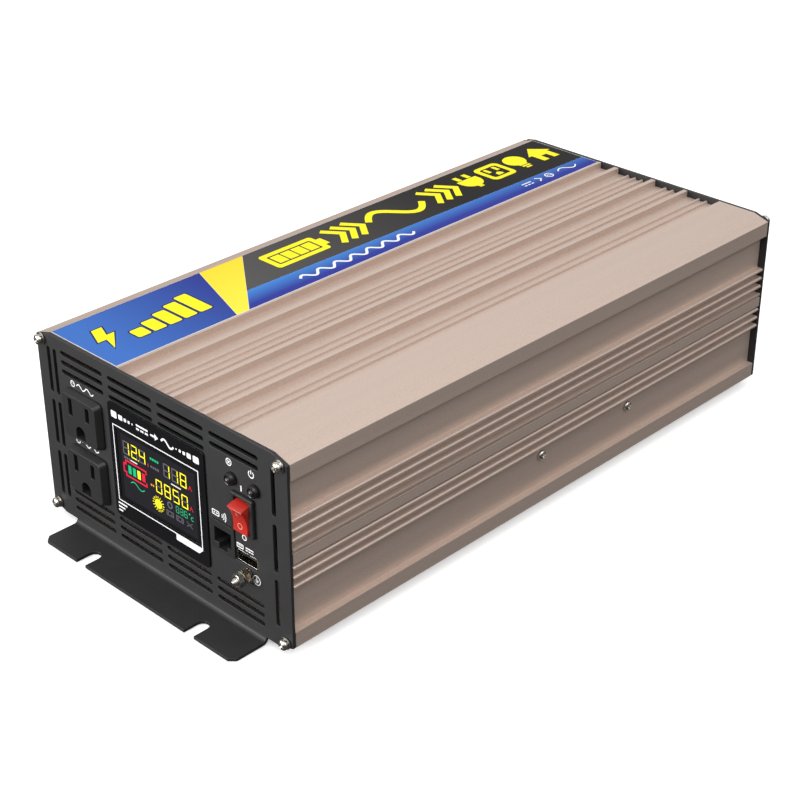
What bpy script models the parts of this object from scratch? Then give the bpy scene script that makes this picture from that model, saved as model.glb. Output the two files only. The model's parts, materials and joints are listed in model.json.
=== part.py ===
"""Power inverter in an extruded aluminium case, modelled as the pieces it is assembled from.

World frame, in metres: +X to the right seen from the socket side, +Y from the front panel
to the rear panel, +Z up. The origin is under the middle of the body, on the plane that the
two mounting feet stand on.
"""
import math

import bmesh
import bpy
from mathutils import Matrix, Vector

# ---------------------------------------------------------------- driving dimensions
CASE_WIDTH = 0.172
CASE_HEIGHT = 0.098
BODY_LENGTH = 0.348          # over both end panels
PANEL_THICKNESS = 0.0016
BEND_RADIUS = 0.0020         # inside radius of each foot's bend
FOOT_REACH = 0.0200          # foot length in front of its panel
FOOT_HALF_WIDTH = 0.0685
GAP = 0.0003                 # clearance between pieces that touch
SHARP_ANGLE = math.radians(32)

HALF_WIDTH = CASE_WIDTH / 2
Y_FRONT = -BODY_LENGTH / 2
Y_REAR = BODY_LENGTH / 2
Z_BODY = BEND_RADIUS + PANEL_THICKNESS      # underside of the case above the feet

# case section, heights measured from the case's underside
CHAMFER_WIDTH = 0.0090
CHAMFER_DROP = 0.0028
BAND_RECESS = 0.0035         # how far the side walls and groove floors lie below the skin
WALL = 0.0020
SEAM_HEIGHT = 0.0522         # where the upper extrusion ends
TOP_BAND_LOW = 0.0870
MIDDLE_BAR = (0.0458, 0.0512)
BOTTOM_BAND_HIGH = 0.0107
LEDGE_HEIGHT = 0.0120        # the board's edges rest on this inner ledge
FIN_THICKNESS = 0.0020
UPPER_FINS = (0.0671, 0.0622, 0.0574)
LOWER_FINS = (0.0435, 0.0386, 0.0338)
SEAM_LIP = 0.0012
LABEL_POCKET = (-0.0776, -0.0280)
LABEL_POCKET_DEPTH = 0.00055
LABEL_THICKNESS = 0.0002
TOP_GROOVES = (              # left edge, right edge, ridges on the floor, in X
    (-0.0265, -0.0170, ()),
    (-0.0140, 0.0090, (-0.0070, -0.0021, 0.0027)),
    (0.0118, 0.0310, (0.0190, 0.0240)),
    (0.0335, 0.0545, (0.0414, 0.0463)),
)
TOP_RIDGE_HEIGHT = 0.0014
TOP_RIDGE_THICKNESS = 0.0016

# corner screws
CORNER_SCREW_X = 0.0818
CORNER_SCREW_HEIGHTS = (0.0042, 0.0938)
SCREW_CHANNEL_RADIUS = 0.0016

# front panel, X from the middle and heights from the case's underside
SLOT_WIDTH = 0.0024
ROW_SLOT_LENGTH = 0.0312
ROW_SLOT_X = (-0.0525, -0.0175, 0.0175, 0.0525)
TOP_SLOT_ROWS = (0.0912, 0.0863, 0.0815)
BOTTOM_SLOT_ROWS = (0.0067, 0.0115, 0.0164)
COLUMN_SLOT_LENGTH = 0.0244
COLUMN_SLOT_X = (-0.0776, -0.0728, 0.0770)
COLUMN_SLOT_HEIGHTS = (0.0226, 0.0508, 0.0790)
OUTLET_X = -0.0522
OUTLET_HEIGHTS = (0.0627, 0.0324)
OUTLET_BASE = (0.0270, 0.0247)
OUTLET_FACE = (0.0245, 0.0222)
OUTLET_BODY = (0.0240, 0.0216)
OUTLET_PROUD = 0.0040
DISPLAY_SIZE = (0.0670, 0.0604)
DISPLAY_HEIGHT = 0.0500
WINDOW_SIZE = (0.0576, 0.0386)
WINDOW_HEIGHT = 0.0494
LED_X = (0.0510, 0.0657)
LED_HEIGHT = 0.0747
SWITCH_X = 0.0580
SWITCH_HEIGHT = 0.0597
SWITCH_BEZEL = (0.0144, 0.0196)
SWITCH_BODY = (0.0124, 0.0180)
SWITCH_WELL = (0.0098, 0.0166)
ROCKER_WIDTH = 0.0092
ROCKER_TILT = math.radians(13.0)
PIVOT_DEPTH = 0.0030         # rocker pivot behind the panel's outer face
JACK_X = 0.0433
JACK_HEIGHT = 0.0410
USB_X = 0.0580
USB_HEIGHT = 0.0363
GROUND_X = 0.0588
GROUND_HEIGHT = 0.0288
FOOT_SLOT_X = 0.0393
FOOT_SLOT_WIDTH = 0.0066
FOOT_SLOT_END = 0.0087       # centre of each slot's round end, in front of the panel

# rear panel
FAN_X = 0.0360
FAN_HEIGHT = 0.0490
FAN_SIZE = 0.0800
FAN_DEPTH = 0.0250
FAN_BORE = 0.0385
FAN_SCREW_PITCH = 0.0715
TERMINAL_X = (-0.0280, -0.0600)
TERMINAL_HEIGHT = 0.0490

# board and what stands on it
BOARD_LOW = LEDGE_HEIGHT + GAP
BOARD_TOP = BOARD_LOW + 0.0016
SIDE_SCREW_Y = (-0.0060, 0.0616)
SIDE_SCREW_HEIGHT = 0.0270
SINK_TOP = 0.0500
SINK_Y = (-0.0450, 0.0950)


# ---------------------------------------------------------------- scene and materials
for old in list(bpy.data.objects):
    bpy.data.objects.remove(old, do_unlink=True)


def make_material(name, colour, roughness, metallic=0.0):
    material = bpy.data.materials.new(name)
    material.use_nodes = True
    shader = material.node_tree.nodes["Principled BSDF"]
    shader.inputs["Base Color"].default_value = (*colour, 1.0)
    shader.inputs["Roughness"].default_value = roughness
    shader.inputs["Metallic"].default_value = metallic
    material.diffuse_color = (*colour, 1.0)
    return material


CHAMPAGNE = make_material("champagne_anodised", (0.42, 0.34, 0.29), 0.42, 0.7)
BLACK_COAT = make_material("black_powder_coat", (0.045, 0.045, 0.048), 0.6)
BLACK_PLASTIC = make_material("black_plastic", (0.020, 0.020, 0.022), 0.4)
GLOSS_BLACK = make_material("gloss_black_film", (0.012, 0.012, 0.014), 0.15)
LABEL_BLUE = make_material("label_blue", (0.05, 0.12, 0.45), 0.35)
ROCKER_RED = make_material("rocker_red", (0.62, 0.04, 0.03), 0.35)
STEEL = make_material("plated_steel", (0.62, 0.60, 0.56), 0.28, 1.0)
BRASS = make_material("brass", (0.70, 0.52, 0.25), 0.3, 1.0)
COPPER = make_material("copper", (0.72, 0.38, 0.22), 0.35, 1.0)
ALUMINIUM = make_material("plain_aluminium", (0.62, 0.63, 0.64), 0.35, 1.0)
LCD_GLASS = make_material("lcd_glass", (0.030, 0.030, 0.034), 0.12)
BOARD_GREEN = make_material("board_green", (0.03, 0.18, 0.08), 0.5)
FERRITE = make_material("ferrite_and_tape", (0.30, 0.24, 0.10), 0.6)
SLEEVE_BLACK = make_material("capacitor_sleeve", (0.03, 0.03, 0.05), 0.4)
TERMINAL_RED = make_material("terminal_red", (0.55, 0.03, 0.03), 0.4)
LED_RED = make_material("led_red", (0.25, 0.02, 0.02), 0.15)
LED_GREEN = make_material("led_green", (0.03, 0.18, 0.06), 0.15)


# ---------------------------------------------------------------- outline helpers
def arc(radius, start, end, steps, centre=(0.0, 0.0)):
    """Points on an arc, angles in degrees, both ends included."""
    points = []
    for i in range(steps + 1):
        angle = math.radians(start + (end - start) * i / steps)
        points.append((centre[0] + radius * math.cos(angle), centre[1] + radius * math.sin(angle)))
    return points


def circle(radius, centre=(0.0, 0.0), steps=16):
    return arc(radius, 0, 360, steps, centre)[:-1]


def rounded_rectangle(size, radius, centre=(0.0, 0.0), steps=3):
    half_a = size[0] / 2 - radius
    half_b = size[1] / 2 - radius
    corners = ((half_a, half_b, 0), (-half_a, half_b, 90), (-half_a, -half_b, 180), (half_a, -half_b, 270))
    points = []
    for a, b, start in corners:
        points += arc(radius, start, start + 90, steps, (centre[0] + a, centre[1] + b))
    return points


def slot(centre, length, width, upright=False, steps=4):
    """A slot with half-round ends."""
    reach = (length - width) / 2
    turn = 90 if upright else 0
    step_a, step_b = (0.0, reach) if upright else (reach, 0.0)
    far = arc(width / 2, turn - 90, turn + 90, steps, (centre[0] + step_a, centre[1] + step_b))
    near = arc(width / 2, turn + 90, turn + 270, steps, (centre[0] - step_a, centre[1] - step_b))
    return far + near


def mirrored(points):
    """The same outline on the other side, in reversed order."""
    return [(-a, b) for a, b in reversed(points)]


def shifted(points, a=0.0, b=0.0):
    return [(p + a, q + b) for p, q in points]


def place(axis, a, b, along):
    """A point from its two outline coordinates and its place along the axis."""
    if axis == "X":
        return Vector((along, a, b))
    if axis == "Y":
        return Vector((a, along, b))
    return Vector((a, b, along))


# ---------------------------------------------------------------- solid helpers
def shade(mesh):
    mesh.shade_smooth()
    mesh.set_sharp_from_angle(angle=SHARP_ANGLE)


def finish(name, bm, material, origin=(0.0, 0.0, 0.0)):
    """Closes a bmesh into a named object with its origin at the given point."""
    bmesh.ops.recalc_face_normals(bm, faces=bm.faces)
    if bm.calc_volume(signed=True) < 0.0:
        bmesh.ops.reverse_faces(bm, faces=bm.faces)
    bmesh.ops.translate(bm, verts=bm.verts, vec=-Vector(origin))
    mesh = bpy.data.meshes.new(name)
    bm.to_mesh(mesh)
    bm.free()
    mesh.materials.append(material)
    item = bpy.data.objects.new(name, mesh)
    item.location = origin
    bpy.context.scene.collection.objects.link(item)
    shade(mesh)
    return item


def prism_mesh(loops, axis, low, high):
    """Fills the first outline, less the holes that follow it, and extrudes it from low to high."""
    bm = bmesh.new()
    edges = []
    for loop in loops:
        verts = [bm.verts.new(place(axis, a, b, low)) for a, b in loop]
        edges += [bm.edges.new((vert, verts[(i + 1) % len(verts)])) for i, vert in enumerate(verts)]
    filled = bmesh.ops.triangle_fill(bm, use_beauty=True, edges=edges)
    faces = [item for item in filled["geom"] if isinstance(item, bmesh.types.BMFace)]
    grown = bmesh.ops.extrude_face_region(bm, geom=faces)
    moved = [item for item in grown["geom"] if isinstance(item, bmesh.types.BMVert)]
    bmesh.ops.translate(bm, verts=moved, vec=place(axis, 0.0, 0.0, high - low))
    return bm


def prism(name, loops, axis, low, high, material, origin=(0.0, 0.0, 0.0)):
    return finish(name, prism_mesh(loops, axis, low, high), material, origin)


def box(name, low, high, material):
    outline = [(low[0], low[1]), (high[0], low[1]), (high[0], high[1]), (low[0], high[1])]
    return prism(name, [outline], "Z", low[2], high[2], material)


def loft(name, rings, axis, material, origin=(0.0, 0.0, 0.0)):
    """Skins rings of equal point count, each given as (outline, place along the axis)."""
    bm = bmesh.new()
    loops = [[bm.verts.new(place(axis, a, b, along)) for a, b in outline] for outline, along in rings]
    count = len(loops[0])
    for first, second in zip(loops, loops[1:]):
        for i in range(count):
            j = (i + 1) % count
            bm.faces.new((first[i], first[j], second[j], second[i]))
    bm.faces.new(loops[0])
    bm.faces.new(loops[-1])
    return finish(name, bm, material, origin)


def turned(name, profile, centre, axis, material, steps=16, ring=False, origin=(0.0, 0.0, 0.0)):
    """Turns (radius, place along the axis) points round the axis through centre.

    With ring set the profile is a closed loop; otherwise its two ends lie on the axis.
    """
    bm = bmesh.new()
    rows = []
    for radius, along in profile:
        if radius == 0.0:
            rows.append([bm.verts.new(place(axis, centre[0], centre[1], along))])
            continue
        rows.append([bm.verts.new(place(axis, a, b, along)) for a, b in circle(radius, centre, steps)])
    pairs = list(zip(rows, rows[1:]))
    if ring:
        pairs.append((rows[-1], rows[0]))
    for first, second in pairs:
        for i in range(steps):
            j = (i + 1) % steps
            if len(first) == 1:
                bm.faces.new((first[0], second[j], second[i]))
            elif len(second) == 1:
                bm.faces.new((first[i], first[j], second[0]))
            else:
                bm.faces.new((first[i], first[j], second[j], second[i]))
    return finish(name, bm, material, origin)


def combine(target, other, operation):
    """Applies one Boolean step to the target and removes the other solid."""
    step = target.modifiers.new("step", "BOOLEAN")
    step.operation = operation
    step.solver = "EXACT"
    step.object = other
    graph = bpy.context.evaluated_depsgraph_get()
    result = bpy.data.meshes.new_from_object(target.evaluated_get(graph))
    target.modifiers.clear()
    result.name = target.name
    target.data = result
    bpy.data.objects.remove(other, do_unlink=True)
    shade(result)
    return target


def cut(target, other):
    return combine(target, other, "DIFFERENCE")


def join(target, other):
    return combine(target, other, "UNION")


# ---------------------------------------------------------------- case
def side_fins(heights):
    """Fins on the right side wall, from the top one down, with half-round tips."""
    root = HALF_WIDTH - BAND_RECESS
    tip = HALF_WIDTH - FIN_THICKNESS / 2
    points = []
    for height in heights:
        points.append((root, height + FIN_THICKNESS / 2))
        points += arc(FIN_THICKNESS / 2, 90, -90, 6, (tip, height))
        points.append((root, height - FIN_THICKNESS / 2))
    return points


def top_grooves():
    """The grooved part of the top skin, from its left end to its right end."""
    floor = CASE_HEIGHT - BAND_RECESS
    radius = TOP_RIDGE_THICKNESS / 2
    points = []
    for left, right, ridges in TOP_GROOVES:
        points += [(left, CASE_HEIGHT), (left, floor)]
        for middle in ridges:
            points.append((middle - radius, floor))
            points += arc(radius, 180, 0, 4, (middle, floor + TOP_RIDGE_HEIGHT - radius))
            points.append((middle + radius, floor))
        points += [(right, floor), (right, CASE_HEIGHT)]
    return points


def screw_channels(height):
    return [circle(SCREW_CHANNEL_RADIUS, (side * CORNER_SCREW_X, height), 10) for side in (-1, 1)]


def extrude_case(name, outline, channel_height):
    loops = [shifted(outline, b=Z_BODY)]
    loops += [shifted(channel, b=Z_BODY) for channel in screw_channels(channel_height)]
    low = Y_FRONT + PANEL_THICKNESS + GAP
    high = Y_REAR - PANEL_THICKNESS - GAP
    return prism(name, loops, "Y", low, high, CHAMPAGNE)


def make_case_upper():
    top = CASE_HEIGHT
    root = HALF_WIDTH - BAND_RECESS
    inner = root - WALL
    shoulder = HALF_WIDTH - 0.0080
    right_side = [(HALF_WIDTH - CHAMFER_WIDTH, top), (HALF_WIDTH, top - CHAMFER_DROP)]
    right_side += [(HALF_WIDTH, TOP_BAND_LOW), (root, TOP_BAND_LOW)]
    right_side += side_fins(UPPER_FINS)
    right_side += [(root, SEAM_HEIGHT + SEAM_LIP), (HALF_WIDTH, SEAM_HEIGHT + SEAM_LIP)]
    right_side += [(HALF_WIDTH, SEAM_HEIGHT)]
    under_skin = top - 0.0022
    under_grooves = top - BAND_RECESS - WALL
    inside = [(inner, SEAM_HEIGHT), (inner, 0.0840), (shoulder, 0.0865), (shoulder, 0.0930)]
    pocket_floor = top - LABEL_POCKET_DEPTH
    pocket = [(LABEL_POCKET[0], top), (LABEL_POCKET[0], pocket_floor)]
    pocket += [(LABEL_POCKET[1], pocket_floor), (LABEL_POCKET[1], top)]
    ceiling = [(HALF_WIDTH - 0.0105, under_skin), (0.0565, under_skin), (0.0550, under_grooves)]
    ceiling += [(-0.0275, under_grooves), (-0.0290, under_skin - 0.0003)]
    ceiling += [(-HALF_WIDTH + 0.0105, under_skin - 0.0003)]
    outline = mirrored(right_side) + pocket + top_grooves() + right_side + inside + ceiling + mirrored(inside)
    return extrude_case("case_upper", outline, CORNER_SCREW_HEIGHTS[1])


def make_case_lower():
    root = HALF_WIDTH - BAND_RECESS
    inner = root - WALL
    tongue_top = SEAM_HEIGHT - GAP
    tongue_face = HALF_WIDTH - 0.0012
    right_side = [(inner, tongue_top), (tongue_face, tongue_top), (tongue_face, MIDDLE_BAR[1])]
    right_side += [(HALF_WIDTH, MIDDLE_BAR[1]), (HALF_WIDTH, MIDDLE_BAR[0]), (root, MIDDLE_BAR[0])]
    right_side += side_fins(LOWER_FINS)
    right_side += [(root, BOTTOM_BAND_HIGH), (HALF_WIDTH, BOTTOM_BAND_HIGH)]
    right_side += [(HALF_WIDTH, CHAMFER_DROP), (HALF_WIDTH - CHAMFER_WIDTH, 0.0)]
    ledge_edge = HALF_WIDTH - 0.0085
    inside = [(ledge_edge - 0.0018, 0.0022), (ledge_edge, 0.0040)]
    inside += [(ledge_edge, LEDGE_HEIGHT), (inner, LEDGE_HEIGHT)]
    outline = right_side + mirrored(right_side) + mirrored(inside) + inside
    shell = extrude_case("case_lower", outline, CORNER_SCREW_HEIGHTS[0])
    for y in SIDE_SCREW_Y:
        hole = circle(SCREW_CHANNEL_RADIUS, (y, Z_BODY + SIDE_SCREW_HEIGHT), 12)
        cut(shell, prism("hole", [hole], "X", -HALF_WIDTH - 0.001, HALF_WIDTH + 0.001, CHAMPAGNE))
    return shell


def make_label():
    low = Z_BODY + CASE_HEIGHT - LABEL_POCKET_DEPTH + GAP
    left = LABEL_POCKET[0] + GAP
    right = LABEL_POCKET[1] - GAP
    reach = BODY_LENGTH / 2 - 0.0022
    return box("top_label", (left, -reach, low), (right, reach, low + LABEL_THICKNESS), LABEL_BLUE)


# ---------------------------------------------------------------- end panels
def panel_outline():
    """The flat part of an end panel, with the foot's edge as one straight side at the bottom."""
    right = [(FOOT_HALF_WIDTH, 0.0), (HALF_WIDTH - CHAMFER_WIDTH, 0.0), (HALF_WIDTH, CHAMFER_DROP)]
    right += [(HALF_WIDTH, CASE_HEIGHT - CHAMFER_DROP), (HALF_WIDTH - CHAMFER_WIDTH, CASE_HEIGHT)]
    return right + mirrored(right)


def grow_foot(bm):
    """Bends the strip under the flat part forwards and runs it out as the mounting foot.

    The panel lies between y = 0, its outer face, and y = PANEL_THICKNESS.
    """
    strip = None
    for face in bm.faces:
        middle = face.calc_center_median()
        flat = max(vert.co.z for vert in face.verts) < 1e-6
        if flat and abs(middle.x) < 1e-6:
            strip = face
    bend_steps = 5
    pivot = Vector((0.0, -BEND_RADIUS, 0.0))
    turn = Matrix.Rotation(math.radians(-90 / bend_steps), 3, "X")
    for _ in range(bend_steps):
        grown = bmesh.ops.extrude_discrete_faces(bm, faces=[strip])
        strip = grown["faces"][0]
        bmesh.ops.rotate(bm, verts=strip.verts, cent=pivot, matrix=turn)
    chamfer = 0.0030
    runs = ((FOOT_REACH - BEND_RADIUS - chamfer, 0.0), (chamfer, chamfer))
    for length, narrowing in runs:
        grown = bmesh.ops.extrude_discrete_faces(bm, faces=[strip])
        strip = grown["faces"][0]
        for vert in strip.verts:
            vert.co.y -= length
            vert.co.x -= math.copysign(narrowing, vert.co.x)


def bent_panel(name, holes, rear):
    """A panel with its foot. Rear panels are made like the front one and turned round."""
    bm = prism_mesh([panel_outline()] + holes, "Y", 0.0, PANEL_THICKNESS)
    bmesh.ops.recalc_face_normals(bm, faces=bm.faces)
    grow_foot(bm)
    bmesh.ops.translate(bm, verts=bm.verts, vec=(0.0, 0.0, Z_BODY))
    item = finish(name, bm, BLACK_COAT)
    for x in (-FOOT_SLOT_X, FOOT_SLOT_X):
        half = FOOT_SLOT_WIDTH / 2
        outline = arc(half, 0, 180, 6, (x, -FOOT_SLOT_END - half))
        outline += [(x - half, -FOOT_REACH - 0.002), (x + half, -FOOT_REACH - 0.002)]
        cut(item, prism("slot", [outline], "Z", -0.001, Z_BODY, BLACK_COAT))
    turn = Matrix.Rotation(math.pi, 4, "Z") if rear else Matrix.Identity(4)
    move = Matrix.Translation((0.0, Y_REAR if rear else Y_FRONT, 0.0))
    item.data.transform(move @ turn)
    return item


def corner_holes():
    return [
        circle(SCREW_CHANNEL_RADIUS, (side * CORNER_SCREW_X, height), 10)
        for side in (-1, 1)
        for height in CORNER_SCREW_HEIGHTS
    ]


def front_vents():
    holes = []
    for row, height in enumerate(TOP_SLOT_ROWS):
        columns = ROW_SLOT_X if row < 2 else ROW_SLOT_X[:3]
        holes += [slot((x, height), ROW_SLOT_LENGTH, SLOT_WIDTH) for x in columns]
    for height in BOTTOM_SLOT_ROWS:
        holes += [slot((x, height), ROW_SLOT_LENGTH, SLOT_WIDTH) for x in ROW_SLOT_X]
    for x in COLUMN_SLOT_X:
        holes += [slot((x, height), COLUMN_SLOT_LENGTH, SLOT_WIDTH, True) for height in COLUMN_SLOT_HEIGHTS]
    return holes


def make_front_panel():
    room = 2 * GAP
    holes = corner_holes() + front_vents()
    for height in OUTLET_HEIGHTS:
        size = (OUTLET_BODY[0] + room, OUTLET_BODY[1] + room)
        holes.append(rounded_rectangle(size, 0.0012, (OUTLET_X, height)))
    window = (WINDOW_SIZE[0] + 0.0008, WINDOW_SIZE[1] + 0.0008)
    holes.append(rounded_rectangle(window, 0.0008, (0.0, WINDOW_HEIGHT)))
    holes += [circle(0.0029, (x, LED_HEIGHT), 14) for x in LED_X]
    size = (SWITCH_BODY[0] + room, SWITCH_BODY[1] + room)
    holes.append(rounded_rectangle(size, 0.0008, (SWITCH_X, SWITCH_HEIGHT)))
    holes.append(rounded_rectangle((0.0142, 0.0142), 0.0006, (JACK_X, JACK_HEIGHT)))
    holes.append(rounded_rectangle((0.0142, 0.0062), 0.0010, (USB_X, USB_HEIGHT)))
    holes.append(circle(0.0022, (GROUND_X, GROUND_HEIGHT), 12))
    return bent_panel("front_panel", holes, rear=False)


def make_rear_panel():
    """Holes are placed as seen from behind, where X runs the other way."""
    fan = (-FAN_X, FAN_HEIGHT)
    holes = corner_holes() + [circle(FAN_BORE - 0.001, fan, 40)]
    for a, b in fan_corners():
        holes.append(circle(0.0021, (fan[0] + a, fan[1] + b), 10))
    holes += [circle(0.0076, (-x, TERMINAL_HEIGHT), 20) for x in TERMINAL_X]
    middle = -(TERMINAL_X[0] + TERMINAL_X[1]) / 2
    for height in (0.0115, 0.0164, 0.0213, 0.0767, 0.0815, 0.0863):
        holes += [slot((middle, height), 0.0500, SLOT_WIDTH)]
    return bent_panel("rear_panel", holes, rear=True)


# ---------------------------------------------------------------- fasteners
def outward(front, depth):
    """A place on the Y axis that lies depth inside the front or the rear panel's outer face."""
    return Y_FRONT + depth if front else Y_REAR - depth


def make_panel_screw(name, x, height, front):
    """Pan-head screw with its spring washer and flat washer."""
    profile = [(0.0, -0.0035), (0.0013, -0.0035), (0.0022, -0.0031), (0.0026, -0.0024), (0.0026, -0.0018)]
    profile += [(0.0023, -0.0018), (0.0023, -0.0010), (0.0030, -0.0010), (0.0030, -GAP)]
    profile += [(0.0012, -GAP), (0.0012, 0.0120), (0.0, 0.0126)]
    points = [(radius, outward(front, depth)) for radius, depth in profile]
    return turned(name, points, (x, Z_BODY + height), "Y", STEEL, 14)


def make_side_screw(name, side, y):
    """Screw through the side wall into the heat sink behind it."""
    seat = HALF_WIDTH - BAND_RECESS
    profile = [(0.0, 0.0020), (0.0014, 0.0020), (0.0023, 0.0015), (0.0026, 0.0009), (0.0026, GAP)]
    profile += [(0.0012, GAP), (0.0012, -0.0075), (0.0, -0.0080)]
    points = [(radius, side * (seat + depth)) for radius, depth in profile]
    return turned(name, points, (y, Z_BODY + SIDE_SCREW_HEIGHT), "X", STEEL, 12)


# ---------------------------------------------------------------- front panel fittings
def make_outlet(name, height):
    """Three-pin socket: snap-in body, bevelled flange and three blind apertures."""
    centre = (OUTLET_X, Z_BODY + height)
    body = rounded_rectangle(OUTLET_BODY, 0.0012, centre)
    base = rounded_rectangle(OUTLET_BASE, 0.0026, centre)
    face = rounded_rectangle(OUTLET_FACE, 0.0022, centre)
    rings = [(body, outward(True, 0.020)), (body, outward(True, -GAP)), (base, outward(True, -GAP))]
    rings += [(base, outward(True, -0.0009)), (face, outward(True, -OUTLET_PROUD))]
    item = loft(name, rings, "Y", BLACK_PLASTIC)
    blade_rise = 0.0049
    apertures = [
        rounded_rectangle((0.0027, 0.0090), 0.0003, (centre[0] - 0.00635, centre[1] + blade_rise), 1),
        rounded_rectangle((0.0027, 0.0076), 0.0003, (centre[0] + 0.00635, centre[1] + blade_rise), 1),
    ]
    earth = arc(0.0034, 0, 180, 8, (centre[0], centre[1] - 0.0068))
    earth += [(centre[0] - 0.0034, centre[1] - 0.0101), (centre[0] + 0.0034, centre[1] - 0.0101)]
    apertures.append(earth)
    for outline in apertures:
        hole = prism("hole", [outline], "Y", outward(True, -0.006), outward(True, 0.0125), BLACK_PLASTIC)
        cut(item, hole)
    return item


def make_display():
    centre = (0.0, Z_BODY + DISPLAY_HEIGHT)
    window_centre = (0.0, Z_BODY + WINDOW_HEIGHT)
    edge = rounded_rectangle(DISPLAY_SIZE, 0.0022, centre)
    window = rounded_rectangle(WINDOW_SIZE, 0.0004, window_centre)
    prism("display_overlay", [edge, window], "Y", outward(True, -0.0009), outward(True, -GAP), GLOSS_BLACK)
    glass = (WINDOW_SIZE[0] - 2 * GAP, WINDOW_SIZE[1] - 2 * GAP)
    outline = rounded_rectangle(glass, 0.0004, window_centre)
    prism("lcd_module", [outline], "Y", outward(True, -0.0006), outward(True, 0.0060), LCD_GLASS)
    board = [rounded_rectangle((0.0640, 0.0540), 0.0010, centre)]
    prism("display_board", board, "Y", outward(True, 0.0064), outward(True, 0.0080), BOARD_GREEN)


def make_led(prefix, x, lens_material):
    centre = (x, Z_BODY + LED_HEIGHT)
    profile = [(0.0018, 0.0060), (0.0018, -0.0026), (0.0022, -0.0028), (0.0027, -0.0022), (0.0030, -0.0012)]
    profile += [(0.0032, -GAP), (0.0026, -GAP), (0.0026, 0.0060)]
    points = [(radius, outward(True, depth)) for radius, depth in profile]
    turned(prefix + "_led_bezel", points, centre, "Y", BLACK_PLASTIC, 16, ring=True)
    lens = [(0.0, 0.0070), (0.0015, 0.0070), (0.0015, -0.0024)]
    lens += [(0.00123, -0.00309), (0.00063, -0.00349), (0.0, -0.0036)]
    points = [(radius, outward(True, depth)) for radius, depth in lens]
    turned(prefix + "_led", points, centre, "Y", lens_material, 12)


def make_switch_housing():
    centre = (SWITCH_X, Z_BODY + SWITCH_HEIGHT)
    body = rounded_rectangle(SWITCH_BODY, 0.0006, centre)
    bezel = rounded_rectangle(SWITCH_BEZEL, 0.0010, centre)
    rim = rounded_rectangle((SWITCH_BEZEL[0] - 0.0008, SWITCH_BEZEL[1] - 0.0008), 0.0008, centre)
    rings = [(body, outward(True, 0.0180)), (body, outward(True, -GAP)), (bezel, outward(True, -GAP))]
    rings += [(bezel, outward(True, -0.0014)), (rim, outward(True, -0.0019))]
    item = loft("switch_housing", rings, "Y", BLACK_PLASTIC)
    well = rounded_rectangle(SWITCH_WELL, 0.0004, centre, 1)
    cut(item, prism("well", [well], "Y", outward(True, -0.004), outward(True, 0.0100), BLACK_PLASTIC))
    bearing = circle(0.0013, (outward(True, PIVOT_DEPTH), centre[1]), 12)
    reach = SWITCH_BODY[0] / 2 + 0.001
    cut(item, prism("bearing", [bearing], "X", SWITCH_X - reach, SWITCH_X + reach, BLACK_PLASTIC))
    return item


def make_rocker():
    """Rocker with a shallow V face and trunnions, shown with its lower end pressed in."""
    pivot = Vector((SWITCH_X, outward(True, PIVOT_DEPTH), Z_BODY + SWITCH_HEIGHT))
    upper = [(-0.0063, 0.0), (-0.0077, 0.0067), (-0.0045, 0.0071), (-0.0010, 0.0071), (0.0026, 0.0036)]
    outline = upper + [(y, -z) for y, z in reversed(upper[1:])]
    turn = Matrix.Rotation(ROCKER_TILT, 2)
    rotated = [turn @ Vector(point) for point in outline]
    points = [(pivot.y + point.x, pivot.z + point.y) for point in rotated]
    half = ROCKER_WIDTH / 2
    item = prism("switch_rocker", [points], "X", SWITCH_X - half, SWITCH_X + half, ROCKER_RED, pivot)
    reach = half + 0.0010
    trunnion = circle(0.0010, (pivot.y, pivot.z), 12)
    return join(item, prism("trunnion", [trunnion], "X", SWITCH_X - reach, SWITCH_X + reach, ROCKER_RED))


def make_remote_jack():
    centre = (JACK_X, Z_BODY + JACK_HEIGHT)
    body = rounded_rectangle((0.0136, 0.0136), 0.0004, centre, 1)
    flange = rounded_rectangle((0.0154, 0.0154), 0.0005, centre, 1)
    rings = [(body, outward(True, 0.0160)), (body, outward(True, -GAP)), (flange, outward(True, -GAP))]
    rings.append((flange, outward(True, -0.0008)))
    item = loft("remote_jack", rings, "Y", BLACK_PLASTIC)
    top, step, foot = 0.0040, -0.0038, -0.0065
    opening = [(-0.0055, step), (-0.0027, step), (-0.0027, foot), (0.0027, foot), (0.0027, step)]
    opening += [(0.0055, step), (0.0055, top), (-0.0055, top)]
    opening = shifted(opening, centre[0], centre[1])
    hole = prism("hole", [opening], "Y", outward(True, -0.003), outward(True, 0.0130), BLACK_PLASTIC)
    return cut(item, hole)


def make_usb_port():
    centre = (USB_X, Z_BODY + USB_HEIGHT)
    outside = rounded_rectangle((0.0136, 0.0056), 0.0007, centre)
    inside = rounded_rectangle((0.0128, 0.0048), 0.0004, centre)
    prism("usb_shell", [outside, inside], "Y", outward(True, 0.0004), outward(True, 0.0140), STEEL)
    block = rounded_rectangle((0.0121, 0.0041), 0.0002, centre, 1)
    tongue = rounded_rectangle((0.0110, 0.0018), 0.0002, (centre[0], centre[1] + 0.0009), 1)
    rings = [(block, outward(True, 0.0138)), (block, outward(True, 0.0095))]
    rings += [(tongue, outward(True, 0.0095)), (tongue, outward(True, 0.0015))]
    loft("usb_tongue", rings, "Y", BLACK_PLASTIC)


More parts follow.
